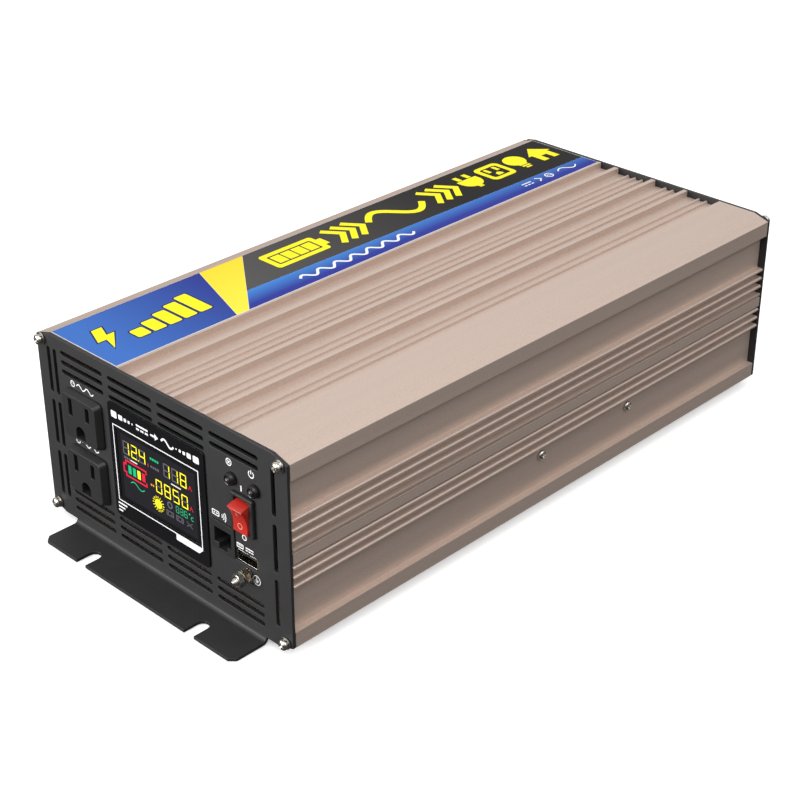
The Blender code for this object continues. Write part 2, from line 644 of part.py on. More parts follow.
def make_ground_post():
    centre = (GROUND_X, Z_BODY + GROUND_HEIGHT)
    profile = [(0.0, 0.0110), (0.0019, 0.0110), (0.0019, -0.0086), (0.0014, -0.0093), (0.0, -0.0095)]
    points = [(radius, outward(True, depth)) for radius, depth in profile]
    turned("ground_stud", points, centre, "Y", STEEL, 14)
    stack = (
        ("ground_lock_washer", circle(0.0036, centre, 18), -0.0010, -GAP),
        ("ground_inner_nut", circle(0.0038, centre, 6), -0.0036, -0.0013),
        ("ground_flat_washer", circle(0.0036, centre, 18), -0.0047, -0.0039),
        ("ground_outer_nut", circle(0.0038, centre, 6), -0.0075, -0.0050),
    )
    for name, outline, outer, inner in stack:
        loops = [outline, circle(0.0022, centre, 12)]
        prism(name, loops, "Y", outward(True, outer), outward(True, inner), STEEL)


# ---------------------------------------------------------------- fan
def fan_corners():
    half = FAN_SCREW_PITCH / 2
    return [(a, b) for a in (-half, half) for b in (-half, half)]


def sector(inner, outer, start, end, centre, steps):
    return arc(outer, start, end, steps, centre) + arc(inner, end, start, steps, centre)


def make_fan_frame():
    centre = (FAN_X, Z_BODY + FAN_HEIGHT)
    far = Y_REAR - PANEL_THICKNESS - GAP
    near = far - FAN_DEPTH
    loops = [rounded_rectangle((FAN_SIZE, FAN_SIZE), 0.0040, centre), circle(FAN_BORE, centre, 40)]
    loops += [circle(0.0022, (centre[0] + a, centre[1] + b), 10) for a, b in fan_corners()]
    item = prism("fan_frame", loops, "Y", near, far, BLACK_PLASTIC)
    openings = [sector(0.0160, 0.0380, turn + 7, turn + 83, centre, 8) for turn in (20, 110, 200, 290)]
    spider = [circle(FAN_BORE + 0.0007, centre, 40)] + openings
    return join(item, prism("spider", spider, "Y", near + 0.0004, near + 0.0034, BLACK_PLASTIC))


def make_fan_rotor():
    """Hub with seven pitched blades, turning about the fan's axis."""
    centre = (FAN_X, Z_BODY + FAN_HEIGHT)
    far = Y_REAR - PANEL_THICKNESS - GAP - 0.0012
    near = far - 0.0195
    origin = (centre[0], near, centre[1])
    hub = [(0.0, far), (0.0150, far), (0.0162, far - 0.0012), (0.0162, near), (0.0, near)]
    item = turned("fan_rotor", hub, centre, "Y", BLACK_PLASTIC, 28, origin=origin)
    blade_count = 7
    for number in range(blade_count):
        turn = 2 * math.pi * number / blade_count
        bm = bmesh.new()
        rows = []
        for radius in (0.0150, 0.0265, 0.0373):
            lead = math.radians(34) - 0.2 * (radius - 0.0150) / 0.0223
            corners = []
            for side, along in ((-0.5, near + 0.0015), (0.5, far - 0.0015)):
                for thickness in (-0.0006, 0.0006):
                    angle = turn + side * lead + thickness / radius
                    a = centre[0] + radius * math.cos(angle)
                    b = centre[1] + radius * math.sin(angle)
                    corners.append(bm.verts.new(place("Y", a, b, along)))
            rows.append([corners[0], corners[1], corners[3], corners[2]])
        for first, second in zip(rows, rows[1:]):
            for i in range(4):
                j = (i + 1) % 4
                bm.faces.new((first[i], first[j], second[j], second[i]))
        bm.faces.new(rows[0])
        bm.faces.new(rows[-1])
        bmesh.ops.triangulate(bm, faces=bm.faces)
        join(item, finish("blade", bm, BLACK_PLASTIC))
    return item


def make_fan_guard():
    """Round guard of concentric rings on four spokes, with a lug for each screw."""
    centre = (FAN_X, Z_BODY + FAN_HEIGHT)
    low = Y_REAR + GAP
    loops = [rounded_rectangle((FAN_SIZE - 0.0020, FAN_SIZE - 0.0020), 0.0060, centre)]
    ring_edges = ((0.0085, 0.0150), (0.0164, 0.0215), (0.0229, 0.0280), (0.0294, 0.0365))
    for inner, outer in ring_edges:
        for turn in (0, 90, 180, 270):
            margin = math.degrees(0.0008 / inner)
            loops.append(sector(inner, outer, turn + margin, turn + 90 - margin, centre, 6))
    loops += [circle(0.0021, (centre[0] + a, centre[1] + b), 10) for a, b in fan_corners()]
    return prism("fan_guard", loops, "Y", low, low + 0.0012, STEEL)


def make_fan_screw(name, a, b):
    seat = Y_REAR + GAP + 0.0012 + GAP
    profile = [(0.0, 0.0022), (0.0016, 0.0022), (0.0026, 0.0016), (0.0032, 0.0008), (0.0032, 0.0)]
    profile += [(0.0016, 0.0), (0.0016, -0.0120), (0.0, -0.0130)]
    points = [(radius, seat + along) for radius, along in profile]
    return turned(name, points, (FAN_X + a, Z_BODY + FAN_HEIGHT + b), "Y", STEEL, 12)


# ---------------------------------------------------------------- direct-current terminals
def make_terminal(polarity, x, plastic):
    centre = (x, Z_BODY + TERMINAL_HEIGHT)
    shell = [(0.0044, -0.0080), (0.0044, 0.0070), (0.0100, 0.0070), (0.0115, 0.0050), (0.0115, GAP)]
    shell += [(0.0072, GAP), (0.0072, -0.0080)]
    points = [(radius, Y_REAR + along) for radius, along in shell]
    turned("dc_insulator_" + polarity, points, centre, "Y", plastic, 24, ring=True)
    stud = [(0.0, 0.0190), (0.0032, 0.0190), (0.0040, 0.0180), (0.0040, -0.0180), (0.0, -0.0180)]
    points = [(radius, Y_REAR + along) for radius, along in stud]
    turned("dc_stud_" + polarity, points, centre, "Y", BRASS, 16)
    loops = [circle(0.0075, centre, 6), circle(0.0043, centre, 16)]
    prism("dc_nut_" + polarity, loops, "Y", Y_REAR + 0.0073, Y_REAR + 0.0133, BRASS)
    strip = [(x - 0.0060, Z_BODY + BOARD_TOP + GAP), (x + 0.0060, Z_BODY + BOARD_TOP + GAP)]
    strip += arc(0.0090, -42, 222, 12, centre)
    loops = [strip, circle(0.0043, centre, 16)]
    prism("dc_strap_" + polarity, loops, "Y", Y_REAR - 0.0120, Y_REAR - 0.0100, COPPER)


# ---------------------------------------------------------------- inside
def make_main_board():
    half = HALF_WIDTH - BAND_RECESS - WALL - GAP
    low = (-half, Y_FRONT + 0.0260, Z_BODY + BOARD_LOW)
    high = (half, Y_REAR - 0.0300, Z_BODY + BOARD_TOP)
    box("main_board", low, high, BOARD_GREEN)
    inner_edge = FAN_X - FAN_SIZE / 2 - 0.0015
    tail = [(-half, high[1] - 0.0010), (inner_edge, high[1] - 0.0010)]
    tail += [(inner_edge, Y_REAR - 0.0080), (-half, Y_REAR - 0.0080)]
    return join(
        bpy.data.objects["main_board"],
        prism("tail", [tail], "Z", low[2], high[2], BOARD_GREEN),
    )


def make_heat_sink(name, side):
    """Finned bar that the power transistors are clamped to, screwed to the case's side."""
    back = HALF_WIDTH - BAND_RECESS - WALL - GAP
    plate = back - 0.0045
    comb = [(back, SINK_TOP), (back, BOARD_TOP + GAP)]
    for i in range(4):
        low = BOARD_TOP + GAP + i * 0.0105
        comb += [(plate - 0.0060, low), (plate - 0.0060, low + 0.0020), (plate, low + 0.0020)]
        if i < 3:
            comb.append((plate, low + 0.0105))
    comb.append((plate, SINK_TOP))
    outline = [(side * a, Z_BODY + b) for a, b in comb]
    item = prism(name, [outline], "Y", SINK_Y[0], SINK_Y[1], ALUMINIUM)
    for y in SIDE_SCREW_Y:
        hole = circle(SCREW_CHANNEL_RADIUS, (y, Z_BODY + SIDE_SCREW_HEIGHT), 12)
        ends = sorted((side * (back + 0.001), side * (plate - 0.001)))
        cut(item, prism("hole", [hole], "X", ends[0], ends[1], ALUMINIUM))
    return item


def make_transformer(name, x, y):
    """Ferrite core with its taped winding."""
    foot = Z_BODY + BOARD_TOP + GAP
    core = box(name, (x - 0.0200, y - 0.0080, foot), (x + 0.0200, y + 0.0080, foot + 0.0360), FERRITE)
    winding = rounded_rectangle((0.0300, 0.0310), 0.0070, (x, y), 3)
    return join(core, prism("winding", [winding], "Z", foot + 0.0050, foot + 0.0310, FERRITE))


def make_capacitor(name, x, y, radius, height):
    foot = Z_BODY + BOARD_TOP + GAP
    top = foot + height
    profile = [(0.0, top - 0.0004), (radius - 0.0022, top - 0.0004), (radius - 0.0018, top)]
    profile += [(radius - 0.0006, top), (radius, top - 0.0008), (radius, foot), (0.0, foot)]
    return turned(name, profile, (x, y), "Z", SLEEVE_BLACK, 20)


def make_choke():
    """Toroidal output choke standing on the board."""
    bore, outer, half = 0.0070, 0.0170, 0.0070
    profile = [(bore, -half + 0.002), (bore + 0.002, -half), (outer - 0.002, -half), (outer, -half + 0.002)]
    profile += [(outer, half - 0.002), (outer - 0.002, half), (bore + 0.002, half), (bore, half - 0.002)]
    foot = Z_BODY + BOARD_TOP + GAP
    points = [(radius, -0.0950 + along) for radius, along in profile]
    return turned("output_choke", points, (0.0300, foot + outer), "Y", COPPER, 24, ring=True)


def make_inside():
    make_main_board()
    make_heat_sink("heat_sink_left", -1)
    make_heat_sink("heat_sink_right", 1)
    for number, y in enumerate((-0.0150, 0.0300, 0.0750), start=1):
        make_transformer(f"transformer_{number}", 0.0 if number == 3 else -0.0180, y)
    make_capacitor("bus_capacitor", -0.0200, -0.0850, 0.0150, 0.0450)
    make_capacitor("input_capacitor", -0.0400, 0.1200, 0.0090, 0.0360)
    make_choke()


# ---------------------------------------------------------------- assembly
def build():
    make_case_upper()
    make_case_lower()
    make_label()
    make_front_panel()
    make_rear_panel()
    sides = (("left", -1), ("right", 1))
    levels = zip(("lower", "upper"), CORNER_SCREW_HEIGHTS)
    for level, height in levels:
        for word, side in sides:
            make_panel_screw(f"front_screw_{level}_{word}", side * CORNER_SCREW_X, height, True)
            make_panel_screw(f"rear_screw_{level}_{word}", side * CORNER_SCREW_X, height, False)
    for word, side in sides:
        for number, y in enumerate(SIDE_SCREW_Y, start=1):
            make_side_screw(f"side_screw_{word}_{number}", side, y)
    make_outlet("ac_outlet_upper", OUTLET_HEIGHTS[0])
    make_outlet("ac_outlet_lower", OUTLET_HEIGHTS[1])
    make_display()
    make_led("fault", LED_X[0], LED_RED)
    make_led("power", LED_X[1], LED_GREEN)
    make_switch_housing()
    make_rocker()
    make_remote_jack()
    make_usb_port()
    make_ground_post()
    make_fan_frame()
    make_fan_rotor()
    make_fan_guard()
    for number, (a, b) in enumerate(fan_corners(), start=1):
        make_fan_screw(f"fan_screw_{number}", a, b)
    make_terminal("positive", TERMINAL_X[0], TERMINAL_RED)
    make_terminal("negative", TERMINAL_X[1], BLACK_PLASTIC)
    make_inside()


build()
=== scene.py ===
"""Looks of the power inverter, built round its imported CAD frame.

Outlines, profiles and print are given in millimetres. Everything placed in the scene is in metres,
in the frame's own axes: +X right, +Y front to rear, +Z up.
"""

import json
import math
import random

import bmesh
import bpy
from mathutils import Matrix, Vector
from mathutils.geometry import tessellate_polygon


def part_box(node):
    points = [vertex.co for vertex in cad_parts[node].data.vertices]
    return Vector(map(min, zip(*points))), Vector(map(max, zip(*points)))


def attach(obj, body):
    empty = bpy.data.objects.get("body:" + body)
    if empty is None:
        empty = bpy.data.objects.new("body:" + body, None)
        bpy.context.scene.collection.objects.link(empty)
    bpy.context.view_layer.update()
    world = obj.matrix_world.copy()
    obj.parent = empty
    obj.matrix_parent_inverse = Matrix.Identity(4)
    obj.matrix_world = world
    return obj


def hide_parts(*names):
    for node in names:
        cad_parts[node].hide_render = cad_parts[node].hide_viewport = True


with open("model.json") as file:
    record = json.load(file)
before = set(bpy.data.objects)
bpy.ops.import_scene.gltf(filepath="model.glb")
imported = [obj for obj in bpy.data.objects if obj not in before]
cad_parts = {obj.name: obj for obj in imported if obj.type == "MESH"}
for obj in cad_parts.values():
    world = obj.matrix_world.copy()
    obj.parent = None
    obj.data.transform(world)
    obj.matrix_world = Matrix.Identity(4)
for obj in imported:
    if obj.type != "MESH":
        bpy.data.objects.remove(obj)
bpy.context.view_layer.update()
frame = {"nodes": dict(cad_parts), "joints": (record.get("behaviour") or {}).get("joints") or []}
NODES = frame["nodes"]
scene = bpy.context.scene
MM = 0.001

# ---------------- places taken from the frame
PANEL_THICKNESS = 0.0016
GAP = 0.0003                       # clearance between two parts that lie on each other
Y_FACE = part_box("front_panel")[1].y - PANEL_THICKNESS
Y_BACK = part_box("rear_panel")[0].y + PANEL_THICKNESS
Z_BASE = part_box("case_lower")[0].z
HALF_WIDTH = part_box("case_upper")[1].x
LABEL_LOW, LABEL_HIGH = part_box("top_label")
TO_FRONT = Matrix.Rotation(math.radians(90), 4, "X")       # +Z to -Y
TO_REAR = Matrix.Rotation(math.radians(-90), 4, "X")       # +Z to +Y
FRONT, REAR = (Y_FACE, TO_FRONT), (Y_BACK, TO_REAR)


def middle(node):
    low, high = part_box(node)
    return (low + high) / 2


def joint_place(name):
    return Vector(next(joint["pos_m"] for joint in frame["joints"] if joint["name"] == name))


# ---------------- camera
camera_data = bpy.data.cameras.new("camera")
camera_data.lens = 78.4
camera_data.sensor_width = 36.0
camera = bpy.data.objects.new("camera", camera_data)
scene.collection.objects.link(camera)
azimuth, elevation = math.radians(44.16), math.radians(29.27)
heading = Vector((
    -math.sin(azimuth) * math.cos(elevation),
    math.cos(azimuth) * math.cos(elevation),
    -math.sin(elevation),
))
camera.location = (0.5392, -0.5746, 0.4679)
camera.rotation_euler = heading.to_track_quat("-Z", "Y").to_euler()
scene.camera = camera

# ---------------- materials
EVEN = (1.0, 1.0, 1.0)
DRAWN = (1.0, 0.006, 1.0)          # stretches a noise into the long die lines of an extrusion
MIX_FACTOR, MIX_FIRST, MIX_SECOND, MIX_RESULT = 0, 6, 7, 2      # sockets of a Mix node for colours


def add_node(tree, kind, inputs, **settings):
    """A node with its settings; each input is a constant or another node's socket."""
    node = tree.nodes.new("ShaderNode" + kind)
    for name, value in settings.items():
        setattr(node, name, value)
    for name, value in inputs.items():
        socket = node.inputs[name]
        if isinstance(value, bpy.types.NodeSocket):
            tree.links.new(value, socket)
        else:
            socket.default_value = (*value, 1.0) if socket.type == "RGBA" else value
    return node


def start_material(name, colour, roughness, metallic=0.0, specular=0.5, coat=0.0):
    material = bpy.data.materials.new(name)
    material.use_nodes = True
    material.diffuse_color = (*colour, 1.0)
    shader = material.node_tree.nodes["Principled BSDF"]
    shader.inputs["Base Color"].default_value = (*colour, 1.0)
    shader.inputs["Roughness"].default_value = roughness
    shader.inputs["Metallic"].default_value = metallic
    shader.inputs["Specular IOR Level"].default_value = specular
    shader.inputs["Coat Weight"].default_value = coat
    return material, material.node_tree, shader


def noise(tree, scale, detail=2.0, stretch=EVEN):
    """A noise texture in the piece's own coordinates, squeezed along each axis by stretch."""
    place = add_node(tree, "TexCoord", {}).outputs["Object"]
    place = add_node(tree, "Mapping", {"Vector": place, "Scale": stretch}).outputs["Vector"]
    return add_node(tree, "TexNoise", {"Vector": place, "Scale": scale, "Detail": detail}).outputs["Fac"]


def remap(tree, value, low, high, start=0.3, end=0.7):
    """Maps the range from start to end onto the range from low to high."""
    ranges = {"Value": value, "From Min": start, "From Max": end, "To Min": low, "To Max": high}
    return add_node(tree, "MapRange", ranges).outputs["Result"]


def blend_colours(tree, factor, first, second, blend="MIX"):
    inputs = {MIX_FACTOR: factor, MIX_FIRST: first, MIX_SECOND: second}
    return add_node(tree, "Mix", inputs, data_type="RGBA", blend_type=blend).outputs[MIX_RESULT]


def bump(tree, height, distance, **under):
    """A relief of distance mm, over another bump where its Normal is given."""
    return add_node(tree, "Bump", {"Height": height, "Distance": distance * MM, **under}).outputs["Normal"]


def coordinate(tree, space, axis):
    """One coordinate of the point being shaded."""
    place = add_node(tree, "TexCoord", {}).outputs[space]
    return add_node(tree, "SeparateXYZ", {"Vector": place}).outputs[axis]


def scaled(colour, factor):
    return tuple(min(1.0, channel * factor) for channel in colour)


def finish_material(name, colour, roughness, metallic=0.0, specular=0.5, coat=0.0, mottle=(60.0, 0.08),
                    grain=(2500.0, 0.06), spread=0.06, stretch=EVEN):
    """A surface with cloudy colour, uneven gloss and a fine grain.

    mottle is (scale, share of colour), grain is (scale, bump height in mm).
    """
    material, tree, shader = start_material(name, colour, roughness, metallic, specular, coat)
    cloud = remap(tree, noise(tree, mottle[0], 3.0, stretch), 0.0, 1.0)
    tinted = blend_colours(tree, cloud, scaled(colour, 1 - mottle[1]), scaled(colour, 1 + mottle[1]))
    tree.links.new(tinted, shader.inputs["Base Color"])
    fine = noise(tree, grain[0], 2.0, stretch)
    tree.links.new(remap(tree, fine, roughness - spread, roughness + spread), shader.inputs["Roughness"])
    tree.links.new(bump(tree, fine, grain[1]), shader.inputs["Normal"])
    return material


def metal(name, colour, roughness, mottle=(500.0, 0.10), grain=(2600.0, 0.006), stretch=EVEN):
    return finish_material(name, colour, roughness, 1.0, mottle=mottle, grain=grain, stretch=stretch)


def film(name, colour, roughness, relief, spread):
    """Smooth film or glass."""
    return finish_material(name, colour, roughness, specular=0.3, grain=(900.0, relief), spread=spread)


def anodised(name, colour):
    """Satin anodised extrusion: a fine blasted grain over faint die lines along the length."""
    material, tree, shader = start_material(name, colour, 0.46, 0.45)
    lines = noise(tree, 500.0, 2.0, DRAWN)
    grains = noise(tree, 1300.0, 3.0)
    tinted = blend_colours(tree, remap(tree, lines, 0.0, 1.0), scaled(colour, 0.975), scaled(colour, 1.025))
    speckles = blend_colours(tree, remap(tree, grains, 0.0, 1.0), (0.88, 0.88, 0.88), (1.0, 1.0, 1.0))
    speckled = blend_colours(tree, 1.0, tinted, speckles, "MULTIPLY")
    tree.links.new(speckled, shader.inputs["Base Color"])
    tree.links.new(remap(tree, lines, 0.43, 0.51), shader.inputs["Roughness"])
    tree.links.new(bump(tree, lines, 0.01, Normal=bump(tree, grains, 0.05)), shader.inputs["Normal"])
    return material


def ink(name, colour, roughness=0.5, far=None, axis=0, start=0.0, end=1.0):
    """Printed ink. With far set, the colour runs from colour to far along one axis, in metres; on the
    label's blue field and dark band this run is painted sheen.
    """
    material, tree, shader = start_material(name, colour, roughness, specular=0.12)
    fine = noise(tree, 1800.0, 2.0)
    tree.links.new(remap(tree, fine, roughness - 0.04, roughness + 0.04), shader.inputs["Roughness"])
    if far is None:
        cloud = remap(tree, noise(tree, 90.0, 2.0), 0.0, 1.0)
        shade = blend_colours(tree, cloud, scaled(colour, 0.97), scaled(colour, 1.03))
    else:
        way = remap(tree, coordinate(tree, "Object", axis), 0.0, 1.0, start, end)
        shade = blend_colours(tree, way, colour, far)
    tree.links.new(shade, shader.inputs["Base Color"])
    return material


def glowing(name, colour, strength):
    """A lit segment behind glass."""
    material, tree, shader = start_material(name, scaled(colour, 0.5), 0.3, specular=0.3)
    cloud = remap(tree, noise(tree, 400.0, 1.0), 0.0, 1.0)
    shade = blend_colours(tree, cloud, scaled(colour, 0.92), colour)
    tree.links.new(shade, shader.inputs["Emission Color"])
    shader.inputs["Emission Strength"].default_value = strength
    return material


CHAMPAGNE = anodised("champagne_anodised", (0.63, 0.505, 0.435))
BLACK_COAT = finish_material("black_powder_coat", (0.026, 0.026, 0.027), 0.50, specular=0.35,
                             grain=(1500.0, 0.05), spread=0.08)
GLOSSY_PLASTIC = finish_material("glossy_black_plastic", (0.010, 0.010, 0.010), 0.14,
                                 grain=(3500.0, 0.004), spread=0.03)
BLACK_PLASTIC = finish_material("black_plastic", (0.021, 0.021, 0.021), 0.40, specular=0.4,
                                grain=(3500.0, 0.015))
FAN_PLASTIC = finish_material("fan_plastic", (0.018, 0.018, 0.019), 0.45, grain=(2200.0, 0.020))
GLOSS_BLACK = film("gloss_black_film", (0.006, 0.006, 0.007), 0.22, 0.002, 0.03)
LCD_DARK = film("lcd_glass", (0.008, 0.008, 0.009), 0.15, 0.001, 0.02)
LCD_PANEL = film("lcd_lit_area", (0.016, 0.015, 0.019), 0.18, 0.001, 0.03)
NICKEL = metal("plated_steel", (0.68, 0.65, 0.60), 0.20)
BRASSY = metal("brass_plate", (0.62, 0.50, 0.33), 0.26)
BRASS = metal("brass", (0.70, 0.50, 0.22), 0.27, (300.0, 0.12))
COPPER = metal("copper", (0.70, 0.34, 0.19), 0.33, (220.0, 0.15), (1800.0, 0.006))
ALUMINIUM = metal("plain_aluminium", (0.60, 0.61, 0.62), 0.36, (300.0, 0.08), (900.0, 0.010), DRAWN)
GOLD = metal("gold_contact", (0.82, 0.60, 0.25), 0.22, (500.0, 0.08), (2600.0, 0.004))
BOARD_GREEN = finish_material("board_green", (0.020, 0.130, 0.050), 0.42, mottle=(160.0, 0.30),
                              grain=(900.0, 0.03))
FERRITE = finish_material("ferrite_and_tape", (0.26, 0.20, 0.07), 0.50, mottle=(120.0, 0.30),
                          grain=(1400.0, 0.02))
SLEEVE = finish_material("capacitor_sleeve", (0.020, 0.022, 0.045), 0.35, grain=(1400.0, 0.01))
ROCKER_RED = finish_material("rocker_red", (0.46, 0.024, 0.015), 0.30, mottle=(200.0, 0.05),
                             grain=(3500.0, 0.008))
TERMINAL_RED = finish_material("terminal_red", (0.55, 0.022, 0.018), 0.40, mottle=(200.0, 0.06),
                               grain=(3000.0, 0.015))
SMOKED_LENS = finish_material("led_lens", (0.030, 0.024, 0.026), 0.08, coat=0.4, grain=(900.0, 0.001),
                              spread=0.02)
WHITE_INK = ink("white_ink", (0.86, 0.86, 0.86))
YELLOW_INK = ink("yellow_ink", (0.97, 0.86, 0.015))
NAVY_INK = ink("navy_ink", (0.012, 0.022, 0.10))
PINK_INK = ink("pink_ink", (0.78, 0.40, 0.36))


# ---------------- outlines, in millimetres
def arc(radius, start, end, steps, centre=(0.0, 0.0)):
    """Points on an arc, angles in degrees, both ends included."""
    points = []
    for i in range(steps + 1):
        angle = math.radians(start + (end - start) * i / steps)
        points.append((centre[0] + radius * math.cos(angle), centre[1] + radius * math.sin(angle)))
    return points


def circle(radius, centre=(0.0, 0.0), steps=32):
    return arc(radius, 0, 360, steps, centre)[:-1]


def hoop(outer, inner, centre, steps=28):
    """A round outline with a round hole."""
    return [circle(outer, centre, steps), circle(inner, centre, steps)]


def rectangle(left, low, right, high):
    return [(left, low), (right, low), (right, high), (left, high)]


def rounded(left, low, right, high, radius, steps=4):
    points = []
    corners = ((right, high, 0), (left, high, 90), (left, low, 180), (right, low, 270))
    for a, b, start in corners:
        a += radius if a == left else -radius
        b += radius if b == low else -radius
        points += arc(radius, start, start + 90, steps, (a, b))
    return points


def framed(left, low, right, high, stroke, radii=None, steps=4):
    """A box outline with its hole, stroke further in; radii are the outer and the inner corner's."""
    hole = (left + stroke, low + stroke, right - stroke, high - stroke)
    if radii is None:
        return [rectangle(left, low, right, high), rectangle(*hole)]
    return [rounded(left, low, right, high, radii[0], steps), rounded(*hole, radii[1], steps)]


def joint_offset(before, here, after, distance):
    """Where a line's corner goes when the line is moved sideways, to its left, by distance."""
    first = (Vector(here) - Vector(before)).normalized()
    second = (Vector(after) - Vector(here)).normalized()
    normal_a = Vector((-first.y, first.x))
    normal_b = Vector((-second.y, second.x))
    normal = (normal_a + normal_b).normalized()
    return tuple(Vector(here) + normal * distance / max(normal.dot(normal_a), 0.5))


def ribbon(points, width):
    """Outline of a stroke of even width along an open line."""
    start = tuple(2 * Vector(points[0]) - Vector(points[1]))
    end = tuple(2 * Vector(points[-1]) - Vector(points[-2]))
    line = [start, *points, end]
    left, right = (
        [joint_offset(*line[i:i + 3], sign * width / 2) for i in range(len(points))] for sign in (1, -1)
    )
    return left + right[::-1]


def grown(points, distance):
    """A closed outline moved outwards."""
    area = sum(a[0] * b[1] - b[0] * a[1] for a, b in zip(points, points[1:] + points[:1]))
    sign = -1 if area > 0 else 1
    count = len(points)
    return [
        joint_offset(points[i - 1], points[i], points[(i + 1) % count], sign * distance)
        for i in range(count)
    ]


def wave(start, length, height, periods, width, centre_line, steps=14):
    """Outline of a sine stroke."""
    total = periods * steps
    points = []
    for i in range(total + 1):
        turn = 2 * math.pi * i / steps
        points.append((start + length * i / total, centre_line + height / 2 * math.sin(turn)))
    return ribbon(points, width)


# ---------------- solids
def on_front(a, b, proud):
    """Millimetres right of the middle, above the case's underside, and proud of the front panel."""
    return Vector((a * MM, Y_FACE - proud * MM, Z_BASE + b * MM))


def on_label(along, across, proud):
    """Millimetres from the front end, from the case's left side, and above the label's underside."""
    return Vector((across * MM - HALF_WIDTH, Y_FACE + along * MM, LABEL_LOW.z + proud * MM))


def add_plate(bm, loops, surface, low, high):
    """Adds one closed plate: an outline with its holes, between two heights over a surface."""
    flat = [point for loop in loops for point in loop]
    triangles = tessellate_polygon([[Vector((a, b, 0.0)) for a, b in loop] for loop in loops])
    lower = [bm.verts.new(surface(a, b, low)) for a, b in flat]
    upper = [bm.verts.new(surface(a, b, high)) for a, b in flat]
    for i, j, k in triangles:
        bm.faces.new((lower[i], lower[j], lower[k]))
        bm.faces.new((upper[i], upper[k], upper[j]))
    start = 0
    for loop in loops:
        count = len(loop)
        for i in range(count):
            a, b = start + i, start + (i + 1) % count
            bm.faces.new((lower[a], lower[b], upper[b], upper[a]))
        start += count


def skin(bm, rows, closed=False):
    """Faces between rings of points that follow each other; a ring of one point is a tip."""
    loops = [[bm.verts.new(point) for point in row] for row in rows]
    count = max(len(loop) for loop in loops)
    pairs = list(zip(loops, loops[1:]))
    if closed:
        pairs.append((loops[-1], loops[0]))
    for first, second in pairs:
        for i in range(count):
            j = (i + 1) % count
            if len(first) == 1:
                bm.faces.new((first[0], second[j], second[i]))
            elif len(second) == 1:
                bm.faces.new((first[i], first[j], second[0]))
            else:
                bm.faces.new((first[i], first[j], second[j], second[i]))
    return loops


def add_turned(bm, profile, steps=32, ring=False, unit=MM):
    """Turns (radius, height) points round the Z axis; a ring's profile is a closed loop."""
    rows = []
    for radius, height in profile:
        points = circle(radius, steps=steps) if radius else [(0.0, 0.0)]
        rows.append([Vector((a, b, height)) * unit for a, b in points])
    skin(bm, rows, ring)


def add_rows(bm, rows, closed=False):
    """Skins rings of equal point count; the ends are capped unless the rows meet."""
    loops = skin(bm, rows, closed)
    if not closed:
        bm.faces.new(loops[0])
        bm.faces.new(loops[-1])


def add_tube(bm, points, radius, steps=8, closed=False):
    """A round wire through points."""
    rows = []
    count = len(points)
    for i, point in enumerate(points):
        before = points[i - 1] if closed or i else point
        after = points[(i + 1) % count] if closed or i + 1 < count else point
        along = (after - before).normalized()
        side = along.cross(Vector((0.0, 1.0, 0.0)))
        if side.length < 0.1:
            side = along.cross(Vector((1.0, 0.0, 0.0)))
        side.normalize()
        other = along.cross(side)
        rows.append([point + radius * (side * a + other * b) for a, b in circle(1.0, steps=steps)])
    add_rows(bm, rows, closed)


def polar(radius, angle, height):
    """A point round the Z axis, from millimetres."""
    return Vector((radius * math.cos(angle), radius * math.sin(angle), height)) * MM


def solid(build, *measures, **options):
    """A new bmesh with one solid in it."""
    bm = bmesh.new()
    build(bm, *measures, **options)
    return bm


def linked(name, bm):
    """Closes a bmesh into an object in the scene."""
    bmesh.ops.recalc_face_normals(bm, faces=bm.faces)
    mesh = bpy.data.meshes.new(name)
    bm.to_mesh(mesh)
    bm.free()
    item = bpy.data.objects.new(name, mesh)
    scene.collection.objects.link(item)
    return item


def finish_piece(name, bm, material, body="chassis", sharp=35.0):
    """A named piece that rides on a body, smooth but for its edges over sharp degrees."""
    item = linked(name, bm)
    item.data.materials.append(material)
    item.data.shade_smooth()
    item.data.set_sharp_from_angle(angle=math.radians(sharp))
    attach(item, body)
    return item


def plates(name, shapes, surface, low, high, material, body="chassis", slot=None):
    """One piece made of closed plates; each shape is an outline followed by its holes."""
    bm = bmesh.new()
    for loops in shapes:
        add_plate(bm, loops, surface, low, high)
    return finish_piece(name, bm, material, body)


def on_axis(name, node, side, bm, material, sharp=35.0, spin=0.0):
    """Puts solids made along +Z on a node's axis, outwards from a panel, in that node's place."""
    place = middle(node)
    face, turn = side
    matrix = Matrix.Translation((place.x, face, place.z)) @ turn @ Matrix.Rotation(spin, 4, "Z")
    bmesh.ops.transform(bm, matrix=matrix, verts=bm.verts)
    item = finish_piece(name, bm, material, sharp=sharp)
    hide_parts(node)


def carve(item, cutter):
    """Cuts one solid out of another and removes the cutter."""
    step = item.modifiers.new("cut", "BOOLEAN")
    step.operation = "DIFFERENCE"
    step.solver = "EXACT"
    step.object = cutter
    graph = bpy.context.evaluated_depsgraph_get()
    result = bpy.data.meshes.new_from_object(item.evaluated_get(graph))
    item.modifiers.clear()
    item.data = result
    bpy.data.objects.remove(cutter, do_unlink=True)


SAME_PLACE = 1e-6                  # metres within which two vertices are one
SAME_PLANE = math.radians(0.5)
REAL_EDGE = math.radians(30.0)     # a CAD edge at least this sharp is rounded


